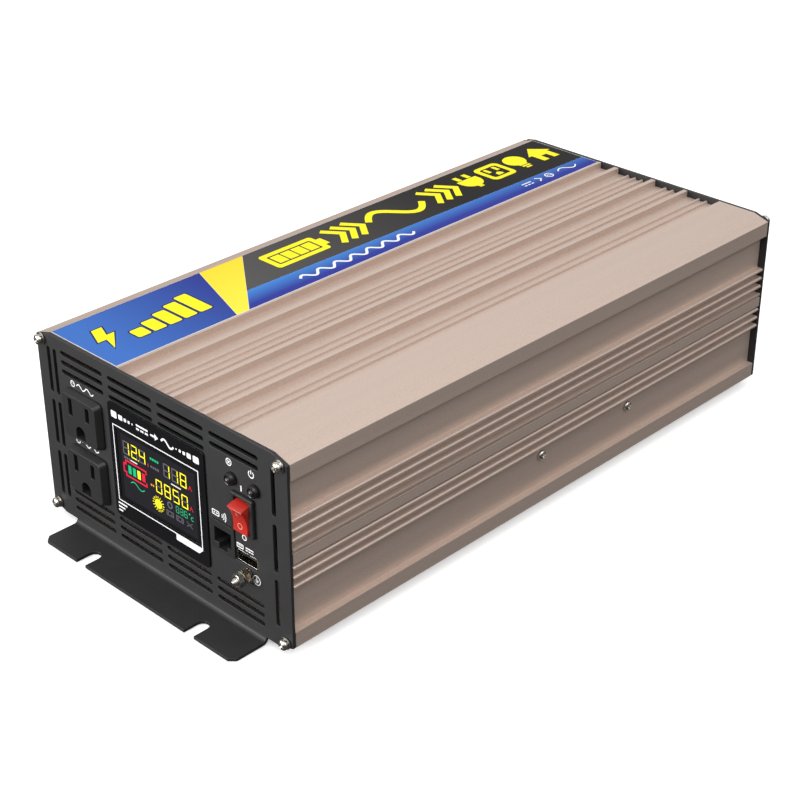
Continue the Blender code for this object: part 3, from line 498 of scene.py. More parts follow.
def softened(node, width, material, segments=2, flat=False):
    """A CAD node's own shape with its edges rounded, in its place."""
    bm = bmesh.new()
    bm.from_mesh(NODES[node].data)
    bmesh.ops.remove_doubles(bm, verts=bm.verts, dist=SAME_PLACE)
    bmesh.ops.dissolve_limit(bm, angle_limit=SAME_PLANE, verts=bm.verts, edges=bm.edges)
    sharp = [edge for edge in bm.edges if edge.is_manifold and edge.calc_face_angle() > REAL_EDGE]
    bmesh.ops.bevel(bm, geom=sharp, offset=width, offset_type="OFFSET", segments=segments, profile=0.5,
                    affect="EDGES", clamp_overlap=True)
    item = finish_piece(node + "_finish", bm, material, sharp=50.0)
    if flat:
        item.data.shade_flat()
    else:
        item.modifiers.new("flat_faces", "WEIGHTED_NORMAL").keep_sharp = True
    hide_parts(node)


# ---------------- case and panels
for node in ("case_upper", "case_lower"):
    softened(node, 0.0003, CHAMPAGNE, flat=True)
for node in ("front_panel", "rear_panel"):
    softened(node, 0.00022, BLACK_COAT, flat=True)

# ---------------- top label
FILM, FIELD, SHADOW, PRINT = (0.0, 0.08), (0.08, 0.12), (0.12, 0.14), (0.14, 0.18)      # layers
RIM, SEAM = 0.35, 0.2              # white left round the printed fields and between two of them
LABEL_LEFT = (LABEL_LOW.x + HALF_WIDTH) / MM
LABEL_RIGHT = (LABEL_HIGH.x + HALF_WIDTH) / MM
LABEL_START = (LABEL_LOW.y - Y_FACE) / MM
LABEL_END = (LABEL_HIGH.y - Y_FACE) / MM
left_edge, right_edge = LABEL_LEFT + RIM, LABEL_RIGHT - RIM
near_edge, far_edge = LABEL_START + RIM, LABEL_END - RIM
WEDGE_NEAR = (91.5, 74.0)          # where the wedge's near side meets the left and the right edge
WEDGE_FAR = (119.5, 81.5)
BAND_RIGHT = (41.0, 46.0)          # right edge of the dark band, at the wedge and at the far end


def label_plates(name, shapes, layer, material):
    return plates(name, shapes, on_label, *layer, material, slot="label_film")


label_film = label_plates("top_label_film", [[rectangle(LABEL_START, LABEL_LEFT, LABEL_END, LABEL_RIGHT)]],
                          FILM, ink("label_white", (0.80, 0.80, 0.79)))
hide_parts("top_label")
share = (BAND_RIGHT[0] - left_edge) / (right_edge - left_edge)
band_start = WEDGE_FAR[0] + (WEDGE_FAR[1] - WEDGE_FAR[0]) * share + SEAM
fields = (
    ("label_blue_field",
     [(near_edge, left_edge), (WEDGE_NEAR[0] - SEAM, left_edge), (WEDGE_NEAR[1] - SEAM, right_edge),
      (near_edge, right_edge)],
     # painted sheen: the blue is lighter at the front end and darker towards the back
     ink("label_blue", (0.045, 0.15, 0.50), 0.5, (0.020, 0.036, 0.26), 1, Y_FACE + 0.012, Y_FACE + 0.088)),
    ("label_yellow_wedge",
     [(WEDGE_NEAR[0], left_edge), (WEDGE_FAR[0], left_edge), (WEDGE_FAR[1], right_edge),
      (WEDGE_NEAR[1], right_edge)],
     ink("label_wedge", (0.90, 0.66, 0.03), 0.5, (0.95, 0.76, 0.06), 0, -0.078, -0.030)),
    ("label_dark_band",
     [(WEDGE_FAR[0] + SEAM, left_edge), (far_edge, left_edge), (far_edge, BAND_RIGHT[1]),
      (band_start, BAND_RIGHT[0])],
     # painted sheen: the band is grey at its front end and fades to black towards the back
     ink("label_dark", (0.080, 0.078, 0.078), 0.5, (0.012, 0.011, 0.011), 1, Y_FACE + 0.1, Y_FACE + 0.25)),
    ("label_blue_stripe",
     [(band_start, BAND_RIGHT[0] + SEAM / 2), (far_edge, BAND_RIGHT[1] + SEAM / 2), (far_edge, right_edge),
      (WEDGE_FAR[1] + SEAM, right_edge)],
     ink("label_stripe", (0.050, 0.210, 0.600), 0.5, (0.022, 0.034, 0.290), 0, -0.044, -0.032)),
)
for name, outline, material in fields:
    label_plates(name, [[outline]], FIELD, material)


def placed(shapes, start, base):
    """Moves shapes drawn as (along, up) so that they read from the front end, up towards the left."""
    return [[[(start + along, base - up) for along, up in loop] for loop in shape] for shape in shapes]


def bolt(height):
    """A lightning flash."""
    shape = [(0.40, 1.0), (0.78, 1.0), (0.58, 0.62), (0.86, 0.62), (0.26, 0.0), (0.40, 0.44), (0.10, 0.44)]
    return [[[(a * height * 0.75, b * height) for a, b in shape]]]


def chevrons(height, pitch=7.2):
    """Three arrow heads in a row."""
    lefts = [number * pitch for number in range(3)]
    return [[ribbon([(a, 0.0), (a + pitch, height / 2), (a, height)], 3.6)] for a in lefts]


def battery(length, height, stroke, bars):
    """A battery outline with its terminal and charge bars."""
    shapes = [framed(0.0, 0.0, length, height, stroke, (2.0, 0.8))]
    shapes.append([rectangle(length + 0.05, height * 0.28, length + 3.0, height * 0.72)])
    pitch = (length - 2 * stroke - 1.4) / bars
    for i in range(bars):
        left = stroke + 1.2 + i * pitch
        shapes.append([rectangle(left, stroke + 1.2, left + pitch - 1.0, height - stroke - 1.2)])
    return shapes


def socket(size, stroke):
    """An outlet face with two blade slots and an earth hole."""
    half = size / 2
    shapes = [framed(0.0, 0.0, size, size, stroke, (3.5, 1.6))]
    for a in (half - 3.4, half + 3.4):
        shapes.append([rectangle(a - 1.2, half + 0.2, a + 1.2, half + 5.4)])
    sill = half - 5.2
    shapes.append([arc(2.2, 0, 180, 10, (half, half - 3.6)) + [(half - 2.2, sill), (half + 2.2, sill)]])
    return shapes


def plug():
    """A two-pin plug with its lead."""
    body = [(0.0, 13.0)] + arc(7.5, 180, 258, 8, (7.5, 9.6)) + [(5.9, 0.0), (9.1, 0.0)]
    body += arc(7.5, 282, 360, 8, (7.5, 9.6)) + [(15.0, 13.0)]
    return [[body]] + [[rectangle(a, 13.6, a + 3.0, 19.0)] for a in (2.4, 9.6)]


def bulb():
    """A lamp over its screw cap."""
    glass = arc(7.0, -62, 242, 30, (7.0, 12.0)) + [(3.9, 4.4), (10.1, 4.4)]
    cap = ((3.9, 2.2, 3.7), (4.9, 0.0, 1.5))
    return [[glass]] + [[rectangle(left, low, 14.0 - left, high)] for left, low, high in cap]


def house():
    return [[[(0.0, 9.6), (9.2, 19.0), (18.4, 9.6), (15.8, 9.6), (15.8, 0.0), (11.4, 0.0), (11.4, 6.4),
              (7.0, 6.4), (7.0, 0.0), (2.6, 0.0), (2.6, 9.6)]]]


# flash and rising level bars in the blue field
levels = [[rounded(i * 9.2, 0.0, i * 9.2 + 7.4, 8.2 + i * 3.2, 1.0, 2)] for i in range(5)]
level_marks = placed(bolt(21.0), 9.0, 43.0) + placed(levels, 27.2, 43.0)
label_plates("label_level_shadow", [[grown(shape[0], 0.8)] for shape in level_marks], SHADOW, NAVY_INK)
label_plates("label_level_marks", level_marks, PRINT, YELLOW_INK)

# from battery to sine wave to the mains along the dark band
BAND_BASE, BAND_SIZE = 34.5, 19.0
band_marks = placed(battery(36.0, 17.4, 3.2, 4), 123.0, BAND_BASE - 0.8)
for start, shapes in (
    (167.5, chevrons(BAND_SIZE)),
    (194.0, [[wave(0.0, 40.0, 15.2, 1, 3.8, BAND_SIZE / 2, 32)]]),
    (239.5, chevrons(BAND_SIZE)),
    (266.0, plug()),
    (284.5, socket(BAND_SIZE, 3.0)),
    (306.5, bulb()),
    (323.5, house()),
):
    band_marks += placed(shapes, start, BAND_BASE)
label_plates("label_band_marks", band_marks, PRINT, YELLOW_INK)

# small white marks on the blue stripe
STRIPE_BASE = 53.2
dashes = [[rectangle(i * 2.8, 1.2, i * 2.8 + 1.9, 2.1)] for i in range(3)]
stripe_marks = []
for start, shapes in (
    (122.0, [[wave(0.0, 80.0, 4.6, 7, 1.5, 3.4, 18)]]),
    (289.0, [[rectangle(0.0, 3.6, 7.5, 4.5)]] + dashes),
    (301.0, [[ribbon([(0.0, 0.4), (3.0, 2.9), (0.0, 5.4)], 0.9)]]),
    (308.0, [hoop(2.8, 2.1, (3.0, 2.9)), [wave(1.5, 3.0, 1.4, 1, 0.6, 2.9, 12)]]),
    (319.0, [[wave(0.0, 15.0, 4.2, 1, 0.9, 2.9, 18)]]),
):
    stripe_marks += placed(shapes, start, STRIPE_BASE)
label_plates("label_stripe_marks", stripe_marks, PRINT, WHITE_INK)


# ---------------- print on the front panel
def direct_current(left, low, width, stroke):
    """A bar over three dashes."""
    shapes = [[rectangle(left, low + stroke * 2, left + width, low + stroke * 3)]]
    dash = width * 0.26
    for i in range(3):
        start = left + i * (width - dash) / 2
        shapes.append([rectangle(start, low, start + dash, low + stroke)])
    return shapes


def cross(arm, stroke, centre):
    """A diagonal cross as one outline."""
    half = stroke / 2
    points = []
    for number in range(4):
        angle = math.pi / 4 + number * math.pi / 2
        for along, aside in ((half, -half), (arm, -half), (arm, half)):
            points.append((centre[0] + along * math.cos(angle) - aside * math.sin(angle),
                           centre[1] + along * math.sin(angle) + aside * math.cos(angle)))
    return points


def earth_symbol(x, z):
    """A ringed stem over three shortening bars."""
    shapes = [hoop(2.5, 2.1, (x, z), 32), [rectangle(x - 0.2, z + 0.2, x + 0.2, z + 1.6)]]
    for number, half in enumerate((1.35, 0.9, 0.45)):
        low = z - 0.05 - number * 0.62
        shapes.append([rectangle(x - half, low - 0.18, x + half, low + 0.18)])
    return shapes


def panel_print():
    """Captions beside the controls, all of them plain symbols."""
    shapes = []
    for base in (77.8, 47.5):     # mains sockets
        shapes.append(hoop(1.65, 1.2, (-60.4, base)))
        shapes += [[rectangle(a, base - 0.1, a + 0.4, base + 0.8)] for a in (-61.15, -60.05)]
        shapes.append([wave(-57.4, 12.6, 2.2, 2, 0.6, base, 16)])
    fault, power = (49.3, 82.0), (63.5, 81.8)
    shapes += [hoop(1.85, 1.35, fault), [cross(1.0, 0.45, fault)]]
    shapes.append([ribbon(arc(1.6, 125, 415, 24, power), 0.55)])
    shapes.append([rectangle(power[0] - 0.27, power[1] + 0.2, power[0] + 0.27, power[1] + 2.1)])
    shapes += [[rectangle(56.2, 70.5, 56.95, 73.3)], hoop(1.5, 0.95, (57.1, 47.2))]     # switch on, off
    shapes.append(framed(51.8, 40.5, 56.2, 42.9, 0.5, (0.4, 0.2), 2))     # charging port
    shapes += [[rectangle(a, 41.6, a + 0.9, 42.2)] for a in (52.9, 54.2)]
    shapes += direct_current(57.6, 40.8, 5.0, 0.62)
    shapes.append(framed(36.2, 50.4, 41.0, 53.2, 0.5, (0.5, 0.3), 2))     # remote control
    shapes += [[circle(0.45, (37.7, 51.8), 12)], [rectangle(38.8, 51.55, 40.0, 52.05)]]
    shapes += [[ribbon(arc(radius, -38, 38, 8, (41.6, 51.8)), 0.5)] for radius in (1.4, 2.6, 3.8)]
    shapes += earth_symbol(64.0, 28.3)
    plates("front_panel_print", shapes, on_front, 0.004, 0.045, WHITE_INK)


panel_print()

# ---------------- display
OVERLAY_PROUD = (Y_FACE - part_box("display_overlay")[0].y) / MM
LCD_PROUD = (Y_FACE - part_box("lcd_module")[0].y) / MM
softened("display_overlay", 0.0001, GLOSS_BLACK, segments=1)


def on_display(across, up, proud):
    """As on_front, but counted from the case's left side."""
    return on_front(across - HALF_WIDTH / MM, up, proud)


def overlay_print():
    """The white frame and its heading: direct current, arrow, sine wave between growing squares."""
    shapes = [framed(55.2, 28.2, 115.3, 69.2, 0.55)]
    squares = ((55.0, 4.0, 3.5), (60.3, 2.9, 2.6), (64.2, 1.8, 1.7), (67.1, 1.4, 1.4), (69.9, 0.8, 0.8))
    middle_line, heading_middle = 74.4, 85.65
    for left, width, height in squares:
        low, high = middle_line - height / 2, middle_line + height / 2
        for near in (left, 2 * heading_middle - left - width):
            shapes.append([rounded(near, low, near + width, high, width * 0.16, 2)])
    shapes += direct_current(73.0, 72.95, 8.4, 0.95)
    shapes.append([[(83.1, 73.85), (86.1, 73.85), (86.1, 72.6), (88.6, 74.35), (86.1, 76.1), (86.1, 74.85),
                    (83.1, 74.85)]])
    shapes.append([wave(90.6, 8.6, 2.9, 1, 1.0, 74.35, 20)])
    for row, length in ((26.5, 6.5), (24.5, 4.8), (22.6, 3.0)):
        shapes.append([rectangle(54.5, row - 0.45, 54.5 + length, row + 0.45)])
    shapes.append([[(96.7, 28.1), (96.7, 25.1), (112.5, 25.1), (115.3, 27.6), (115.3, 28.1)]])
    low, high = OVERLAY_PROUD + 0.004, OVERLAY_PROUD + 0.03
    plates("display_overlay_print", shapes, on_display, low, high, WHITE_INK)


overlay_print()

SEGMENTS_LIT = {
    "0": "abcdef", "1": "bc", "2": "abged", "3": "abgcd", "4": "fgbc",
    "5": "afgcd", "6": "afgedc", "7": "abc", "8": "abcdefg", "9": "abcdfg",
}


def segments(left, low, width, height, stroke):
    """The seven segments of one figure, by letter: one drawn for each kind, the others mirrored."""
    gap, half, top, mid = 0.12, stroke / 2, low + height, low + height / 2
    ends = (left + gap, left + width - gap)
    bar = [(ends[0], top), (ends[1], top), (ends[1] - stroke, top - stroke),
           (ends[0] + stroke, top - stroke)]
    side = [(left, top - gap), (left + stroke, top - gap - stroke), (left + stroke, mid + gap + half),
            (left, mid + gap)]
    centre = [(ends[0] + half, mid + half), (ends[1] - half, mid + half), (ends[1], mid),
              (ends[1] - half, mid - half), (ends[0] + half, mid - half), (ends[0], mid)]

    def across(points):
        return [(2 * left + width - a, b) for a, b in points]

    def down(points):
        return [(a, 2 * mid - b) for a, b in points]

    return {"a": bar, "b": across(side), "c": across(down(side)), "d": down(bar), "e": down(side), "f": side,
            "g": centre}


def lcd_picture():
    """Every mark on the display, one piece for each colour."""
    yellow, ghost, red, green, white, amber = [], [], [], [], [], []
    figures = (
        ("124", 61.5, 5.8, 55.8, (4.3, 7.0, 0.62), yellow),
        ("118", 90.3, 5.8, 55.8, (4.3, 7.0, 0.62), yellow),
        ("0850", 84.0, 6.0, 44.9, (4.3, 6.9, 0.62), yellow),
        ("036", 97.4, 2.9, 39.9, (2.2, 3.6, 0.36), green),
    )
    for text, left, pitch, low, size, lit in figures:
        for number, character in enumerate(text):
            for letter, points in segments(left + number * pitch, low, *size).items():
                (lit if letter in SEGMENTS_LIT[character] else ghost).append([points])
    yellow.append([rectangle(72.1, 55.8, 72.7, 56.4)])
    # units and captions as bars and dots
    red += [[ribbon([(107.4, low), (108.5, low + 2.2), (109.6, low)], 0.4)] for low in (56.0, 45.2)]
    red.append([rectangle(79.0, 55.9, 79.5, 57.6)])
    for start, low, count, marks in ((81.0, 60.6, 4, green), (81.0, 56.4, 4, ghost), (61.8, 53.4, 3, ghost)):
        lefts = [start + i * 1.6 for i in range(count)]
        marks += [[rectangle(left, low, left + 1.2, low + 1.2)] for left in lefts]
    white += [[rectangle(left, 53.6, right, 54.2)] for left, right in ((66.4, 71.2), (95.2, 102.0))]
    # battery with four bars
    case = [(77.2, 50.6), (77.2, 52.4), (62.6, 52.4), (62.6, 50.4), (61.0, 50.4), (61.0, 46.2), (62.6, 46.2),
            (62.6, 44.4), (77.2, 44.4), (77.2, 46.2)]
    red.append([ribbon(case, 0.85)])
    for left, marks in ((64.2, green), (67.5, green), (70.8, yellow), (74.1, red)):
        marks.append([rectangle(left, 46.1, left + 2.2, 50.5)])
    green.append([wave(65.2, 10.0, 2.4, 1, 0.55, 41.4, 18)])
    amber += [[rectangle(left, 46.6, left + 1.0, 47.6)] for left in (80.2, 81.6)]
    # sun
    sun, rays = (84.8, 38.6), 16
    yellow.append([circle(2.5, sun, 28)])
    for inner, outer in zip(circle(3.0, sun, rays), circle(4.1, sun, rays)):
        yellow.append([ribbon([inner, outer], 0.42)])
    # small grey icons
    ghost.append(hoop(1.9, 1.1, (93.2, 41.7), 24))
    for left in (90.4, 97.3):
        ghost.append(framed(left, 35.7, left + 5.0, 38.5, 0.5))
        ghost += [[rectangle(near, 36.6, near + 0.6, 37.6)] for near in (left + 1.0, left + 3.4)]
    for rise in (1.3, -1.3):
        ghost.append([ribbon([(104.6, 37.1 - rise), (108.6, 37.1 + rise)], 0.45)])
    # degree sign and unit of the temperature
    green += [[circle(0.55, (106.9, 43.0), 12)], [ribbon(arc(0.95, 50, 310, 10, (108.9, 41.2)), 0.4)]]
    inks = (
        ("lit_yellow", yellow, glowing("lcd_yellow", (0.95, 0.84, 0.02), 1.0)),
        ("unlit", ghost, ink("lcd_unlit", (0.120, 0.120, 0.130), 0.25)),
        ("lit_red", red, glowing("lcd_red", (0.66, 0.015, 0.045), 0.9)),
        ("lit_green", green, glowing("lcd_green", (0.010, 0.42, 0.17), 0.9)),
        ("lit_white", white, glowing("lcd_white", (0.75, 0.75, 0.75), 0.8)),
        ("lit_amber", amber, glowing("lcd_amber", (0.75, 0.30, 0.02), 0.8)),
    )
    low, high = LCD_PROUD + 0.03, LCD_PROUD + 0.05
    for name, shapes, material in inks:
        plates("lcd_" + name, shapes, on_display, low, high, material, slot="lcd_glass")
    active = rectangle(60.0, 32.0, 112.0, 66.0)
    low, high = LCD_PROUD + 0.002, LCD_PROUD + 0.022
    plates("lcd_lit_area", [[active]], on_display, low, high, LCD_PANEL, slot="lcd_glass")


lcd_picture()


# ---------------- screws
def cross_cutter(reach, width, depth, top):
    """One arm pair of a cross recess, narrower at its bottom."""
    rows = []
    for height, size in ((top + 0.4, 1.0), (top, 1.0), (top - depth, 0.45)):
        a, b = reach * size, width / 2 * (0.55 + 0.45 * size)
        rows.append([Vector((x, y, height)) * MM for x, y in rectangle(-a, -b, a, b)])
    return solid(add_rows, rows)


def cross_head(profile, reach, width, depth):
    """A turned head with a cross recess, as a mesh standing on the Z = 0 plane."""
    item = linked("head", solid(add_turned, profile))
    top = max(height for _, height in profile)
    for turn in (0.0, math.pi / 2):
        cutter = cross_cutter(reach, width, depth, top)
        bmesh.ops.rotate(cutter, verts=cutter.verts, cent=(0, 0, 0), matrix=Matrix.Rotation(turn, 3, "Z"))
        carve(item, linked("cross", cutter))
    mesh = item.data
    bpy.data.objects.remove(item, do_unlink=True)
    return mesh


def spring_washer(bm, inner, outer, low, thick, rise, steps=40):
    """A split ring that climbs a little round its turn."""
    section = ((inner, 0.0), (outer, 0.0), (outer, thick), (inner, thick))
    rows = []
    for i in range(steps + 1):
        share = i / steps
        angle = math.radians(8 + 344 * share)
        base = low + rise * share
        rows.append([polar(radius, angle, base + up) for radius, up in section])
    add_rows(bm, rows)


def washer(bm, inner, outer, low, high):
    edge = 0.12
    add_turned(bm, [(inner, low), (outer - edge, low), (outer, low + edge), (outer, high - edge),
                    (outer - edge, high), (inner + edge, high), (inner, high - edge)], 36, ring=True)


def screw_mesh(name, head, recess, shank, washers=False):
    """A screw outwards along +Z: recess is (reach, width, depth), shank is (radius, tip, top)."""
    bm = bmesh.new()
    bm.from_mesh(cross_head(head, *recess))
    radius, tip, top = shank
    add_turned(bm, [(0.0, tip), (radius, tip + 0.2), (radius, top), (0.0, top)], 16)
    if washers:
        washer(bm, 1.35, 3.0, 0.3, 0.95)
        spring_washer(bm, 1.4, 2.35, 0.97, 0.62, 0.14)
    mesh = bpy.data.meshes.new(name)
    bm.to_mesh(mesh)
    bm.free()
    return mesh


draw = random.Random(7)


def set_screw(node, mesh, centre, turn):
    """A detailed screw in place of a CAD one, its recess at a random angle."""
    spin = Matrix.Rotation(draw.uniform(0.0, math.pi / 2), 4, "Z")
    bm = bmesh.new()
    bm.from_mesh(mesh)
    bmesh.ops.transform(bm, matrix=Matrix.Translation(centre) @ turn @ spin, verts=bm.verts)
    item = finish_piece(node + "_detail", bm, NICKEL)
    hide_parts(node)


pan_head = [(0.0, 1.75), (1.9, 1.75), (2.45, 1.80), (2.6, 1.98), (2.6, 2.35), (2.45, 2.75), (2.1, 3.10),
            (1.5, 3.36), (0.8, 3.48), (0.0, 3.5)]
panel_screw = screw_mesh("panel_screw", pan_head, (1.65, 0.95, 1.3), (1.2, -4.0, 1.74), washers=True)
for level in ("lower", "upper"):
    for side in ("left", "right"):
        for end, (face, turn) in (("front", FRONT), ("rear", REAR)):
            name = f"{end}_screw_{level}_{side}"
            place = middle(name)
            set_screw(name, panel_screw, Vector((place.x, face, place.z)), turn)
WALL_RECESS = 0.0035               # how far the side wall lies inside the case's widest line
low_head = [(0.0, 0.3), (2.45, 0.3), (2.6, 0.45), (2.6, 0.8), (2.4, 1.25), (1.9, 1.65), (1.2, 1.9),
            (0.0, 2.0)]
side_screw = screw_mesh("side_screw", low_head, (1.6, 0.9, 1.2), (1.2, -3.0, 0.28))
for side, sign in (("left", -1), ("right", 1)):
    for number in (1, 2):
        name = f"side_screw_{side}_{number}"
        place = middle(name)
        turn = Matrix.Rotation(math.radians(90 * sign), 4, "Y")
        set_screw(name, side_screw, Vector((sign * (HALF_WIDTH - WALL_RECESS), place.y, place.z)), turn)
GUARD_TOP = Y_BACK + 2 * GAP + 0.0012
wide_head = [(0.0, 0.0), (3.0, 0.0), (3.2, 0.2), (3.2, 0.7), (2.9, 1.3), (2.3, 1.8), (1.4, 2.1), (0.0, 2.2)]
fan_screw = screw_mesh("fan_screw", wide_head, (1.9, 1.0, 1.4), (1.6, -4.0, -0.02))
for number in range(1, 5):
    name = f"fan_screw_{number}"
    place = middle(name)
    set_screw(name, fan_screw, Vector((place.x, GUARD_TOP, place.z)), TO_REAR)

# ---------------- outlets
for name in ("ac_outlet_upper", "ac_outlet_lower"):
    softened(name, 0.00035, BLACK_PLASTIC, segments=3)
    place = middle(name)

    def in_outlet(a, b, depth):
        return Vector((place.x + a * MM, Y_FACE + (3.0 + depth) * MM, place.z + b * MM))

    contacts = [hoop(2.5, 1.9, (0.0, -7.2), 24)]
    for a in (-6.35, 6.35):
        blade = rounded(a - 1.0, 1.4, a + 1.0, 8.4, 0.3, 2)
        contacts.append([blade, rounded(a - 0.55, 1.9, a + 0.55, 7.9, 0.2, 2)])
    plates(name + "_contacts", contacts, in_outlet, 0.0, 6.0, BRASS, slot="brass")

# ---------------- indicator lamps
collar = [(1.75, -6.0), (1.75, 2.30), (1.95, 2.62), (2.25, 2.70), (2.60, 2.45), (2.90, 1.90), (3.10, 1.20),
          (3.20, 0.60), (3.20, 0.30), (2.60, 0.30), (2.60, -6.0)]
lens = [(0.0, -6.0), (1.5, -6.0), (1.5, 2.2), (1.44, 2.6), (1.28, 2.98), (1.0, 3.28), (0.62, 3.50),
        (0.25, 3.59), (0.0, 3.6)]
for prefix, slot_name in (("fault", "led_red"), ("power", "led_green")):
    on_axis(prefix + "_led_collar", prefix + "_led_bezel", FRONT, solid(add_turned, collar, 40, ring=True),
            GLOSSY_PLASTIC, 50.0)
    on_axis(prefix + "_led_lens", prefix + "_led", FRONT, solid(add_turned, lens, 40),
            SMOKED_LENS, 50.0)

# ---------------- rocker switch
softened("switch_housing", 0.0002, BLACK_PLASTIC)
PIVOT = joint_place("rocker_toggle")
TILT = math.radians(13.0)
ROCKER_HALF = 4.6                  # half the rocker's width
VALLEY, RISE = 6.3, 1.35           # how far the faces' valley and, more than that, their ends lie out
FACE_HEIGHT, FACE_LENGTH = 6.55, 6.69
HOLLOW = 0.28                      # how far a face sags in its middle


def on_rocker(x, y, z):
    """Rocker coordinates in millimetres, level before its tilt, to the frame."""
    turned = Matrix.Rotation(TILT, 2) @ Vector((y, z))
    return Vector((PIVOT.x + x * MM, PIVOT.y + turned.x * MM, PIVOT.z + turned.y * MM))


def rocker_profile():
    """Side outline as (depth, height): two hollowed faces that meet in a shallow valley."""
    face = []
    for i in range(7):
        share = i / 6
        face.append((-VALLEY - RISE * share + HOLLOW * math.sin(math.pi * share), FACE_HEIGHT * share))
    upper = face + [(-7.45, 6.82), (-7.0, 6.95), (-4.5, 7.05), (-1.0, 7.05), (2.6, 3.6)]
    return upper + [(y, -z) for y, z in reversed(upper[1:])]


def make_rocker():
    outline = rocker_profile()
    inset = [(y + (0.32 if y < -5 else 0.0), z * 0.955) for y, z in outline]
    eased = [(a[0] * 0.3 + b[0] * 0.7, a[1] * 0.3 + b[1] * 0.7) for a, b in zip(inset, outline)]
    edge = 0.45
    left = [(-ROCKER_HALF, inset), (-ROCKER_HALF + edge * 0.3, eased), (-ROCKER_HALF + edge, outline)]
    stations = left + [(-x, points) for x, points in reversed(left)]
    rows = [[on_rocker(x, y, z) for y, z in points] for x, points in stations]
    item = finish_piece("switch_rocker_cap", solid(add_rows, rows), ROCKER_RED, "rocker", 40.0)
    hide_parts("switch_rocker")


def rocker_face(sign):
    """A surface over the upper (1) or lower (-1) face: across, along from the valley, and proud."""
    along = Vector((-RISE, sign * FACE_HEIGHT)).normalized()
    out = Vector((-abs(along.y), -abs(along.x) * sign))

    def surface(a, b, proud):
        hollow = HOLLOW * math.sin(math.pi * b / FACE_LENGTH)
        return on_rocker(a, -VALLEY + along.x * b + out.x * proud + hollow, along.y * b + out.y * proud)

    return surface


make_rocker()
rocker_marks = (("off", -1, hoop(1.5, 1.22, (0.0, 3.5))), ("on", 1, [rectangle(-0.17, 2.2, 0.17, 4.6)]))
for state, sign, shape in rocker_marks:
    plates(f"switch_{state}_mark", [shape], rocker_face(sign), 0.005, 0.05, PINK_INK, "rocker")

# ---------------- jack and USB port
softened("remote_jack", 0.00015, BLACK_PLASTIC)
softened("usb_shell", 0.00008, NICKEL, segments=1)
softened("usb_tongue", 0.0001, BLACK_PLASTIC, segments=1)
jack, usb = middle("remote_jack"), middle("usb_shell")
# a contact spring's way through the jack: depth and height
SPRING = ((1.4, 3.4), (2.2, 3.5), (4.5, 2.6), (7.5, 0.9), (9.0, 0.6), (10.5, 1.2), (12.5, 3.2))
bm = bmesh.new()
for i in range(6):
    x = jack.x + (i - 2.5) * 1.02 * MM
    wire = [Vector((x, Y_FACE + depth * MM, jack.z + height * MM)) for depth, height in SPRING]
    add_tube(bm, wire, 0.19 * MM)
finish_piece("remote_jack_contacts", bm, GOLD, sharp=60.0)


def under_tongue(a, b, low):
    return Vector((usb.x + a * MM, Y_FACE + b * MM, usb.z - (0.02 + low) * MM))


usb_contacts = [[rectangle(x - 0.55, 2.4, x + 0.55, 9.0)] for x in (-3.5, -1.0, 1.0, 3.5)]
plates("usb_contacts", usb_contacts, under_tongue, 0.0, 0.12, GOLD, slot="brass")


# ---------------- ground post
def add_thread(bm, radius, depth, pitch, low, high, steps=20, tip=0.8):
    """A threaded rod from low to high with a chamfered tip, in millimetres along Z."""
    rows = []
    per_turn = 8
    count = int((high - low) / pitch * per_turn)
    for i in range(count + 1):
        height = low + (high - low) * i / count
        limit = radius - max(0.0, height - (high - tip)) * 0.8
        row = []
        for k in range(steps):
            turn = k / steps - height / pitch
            groove = depth * abs(2 * (turn % 1.0) - 1)
            row.append(polar(min(radius - groove, limit), 2 * math.pi * k / steps, height))
        rows.append(row)
    add_rows(bm, rows)


def level_ring(radius, height, steps):
    return [Vector((a, b, height)) * MM for a, b in circle(radius, steps=steps)]


def add_hex_nut(bm, across, bore, low, high, steps=48):
    """A hexagon nut with rounded-off corners on both faces, in millimetres along Z."""
    rim = across / 2 * 0.985
    fall = 0.56                    # how far a face falls for each millimetre past its rim

    def section(limit, height, slope):
        row = []
        for k in range(steps):
            angle = 2 * math.pi * k / steps
            radius = across / 2 / math.cos((angle + math.pi / 6) % (math.pi / 3) - math.pi / 6)
            row.append(polar(min(radius, limit), angle, height + slope * max(0.0, radius - rim)))
        return row

    rows = [
        level_ring(bore, low, steps),
        section(rim, low, 0.0),
        section(across, low, fall),
        section(across, high, -fall),
        section(rim, high, 0.0),
        level_ring(bore + 0.3, high, steps),
        level_ring(bore, high - 0.3, steps),
    ]
    add_rows(bm, rows, closed=True)


def along_axis(a, b, height):
    return Vector((a, b, height)) * MM


TEETH = 14
star = []
for i in range(TEETH):
    base = 360 / TEETH * i
    star += arc(3.05, base, base + 10, 1) + arc(3.6, base + 12, base + 20, 1)
stud = solid(add_thread, 1.9, 0.25, 0.7, -11.0, 9.5, tip=1.3)
toothed = solid(add_plate, [star, circle(2.05, steps=28)], along_axis, 0.3, 0.95)
ground_stack = (
    ("ground_stud_thread", "ground_stud", stud, NICKEL, 60.0, 0.0),
    ("ground_toothed_washer", "ground_lock_washer", toothed, NICKEL, 35.0, 0.0),
    ("ground_inner_hex", "ground_inner_nut", solid(add_hex_nut, 6.0, 2.0, 1.3, 3.6), BRASSY, 35.0, 0.3),
    ("ground_plain_washer", "ground_flat_washer", solid(washer, 2.05, 3.6, 3.9, 4.7), NICKEL, 35.0, 0.0),
    ("ground_outer_hex", "ground_outer_nut", solid(add_hex_nut, 6.0, 2.0, 5.0, 7.5), NICKEL, 35.0, 0.75),
)
for name, node, bm, material, sharp, spin in ground_stack:
    on_axis(name, node, FRONT, bm, material, sharp, spin)

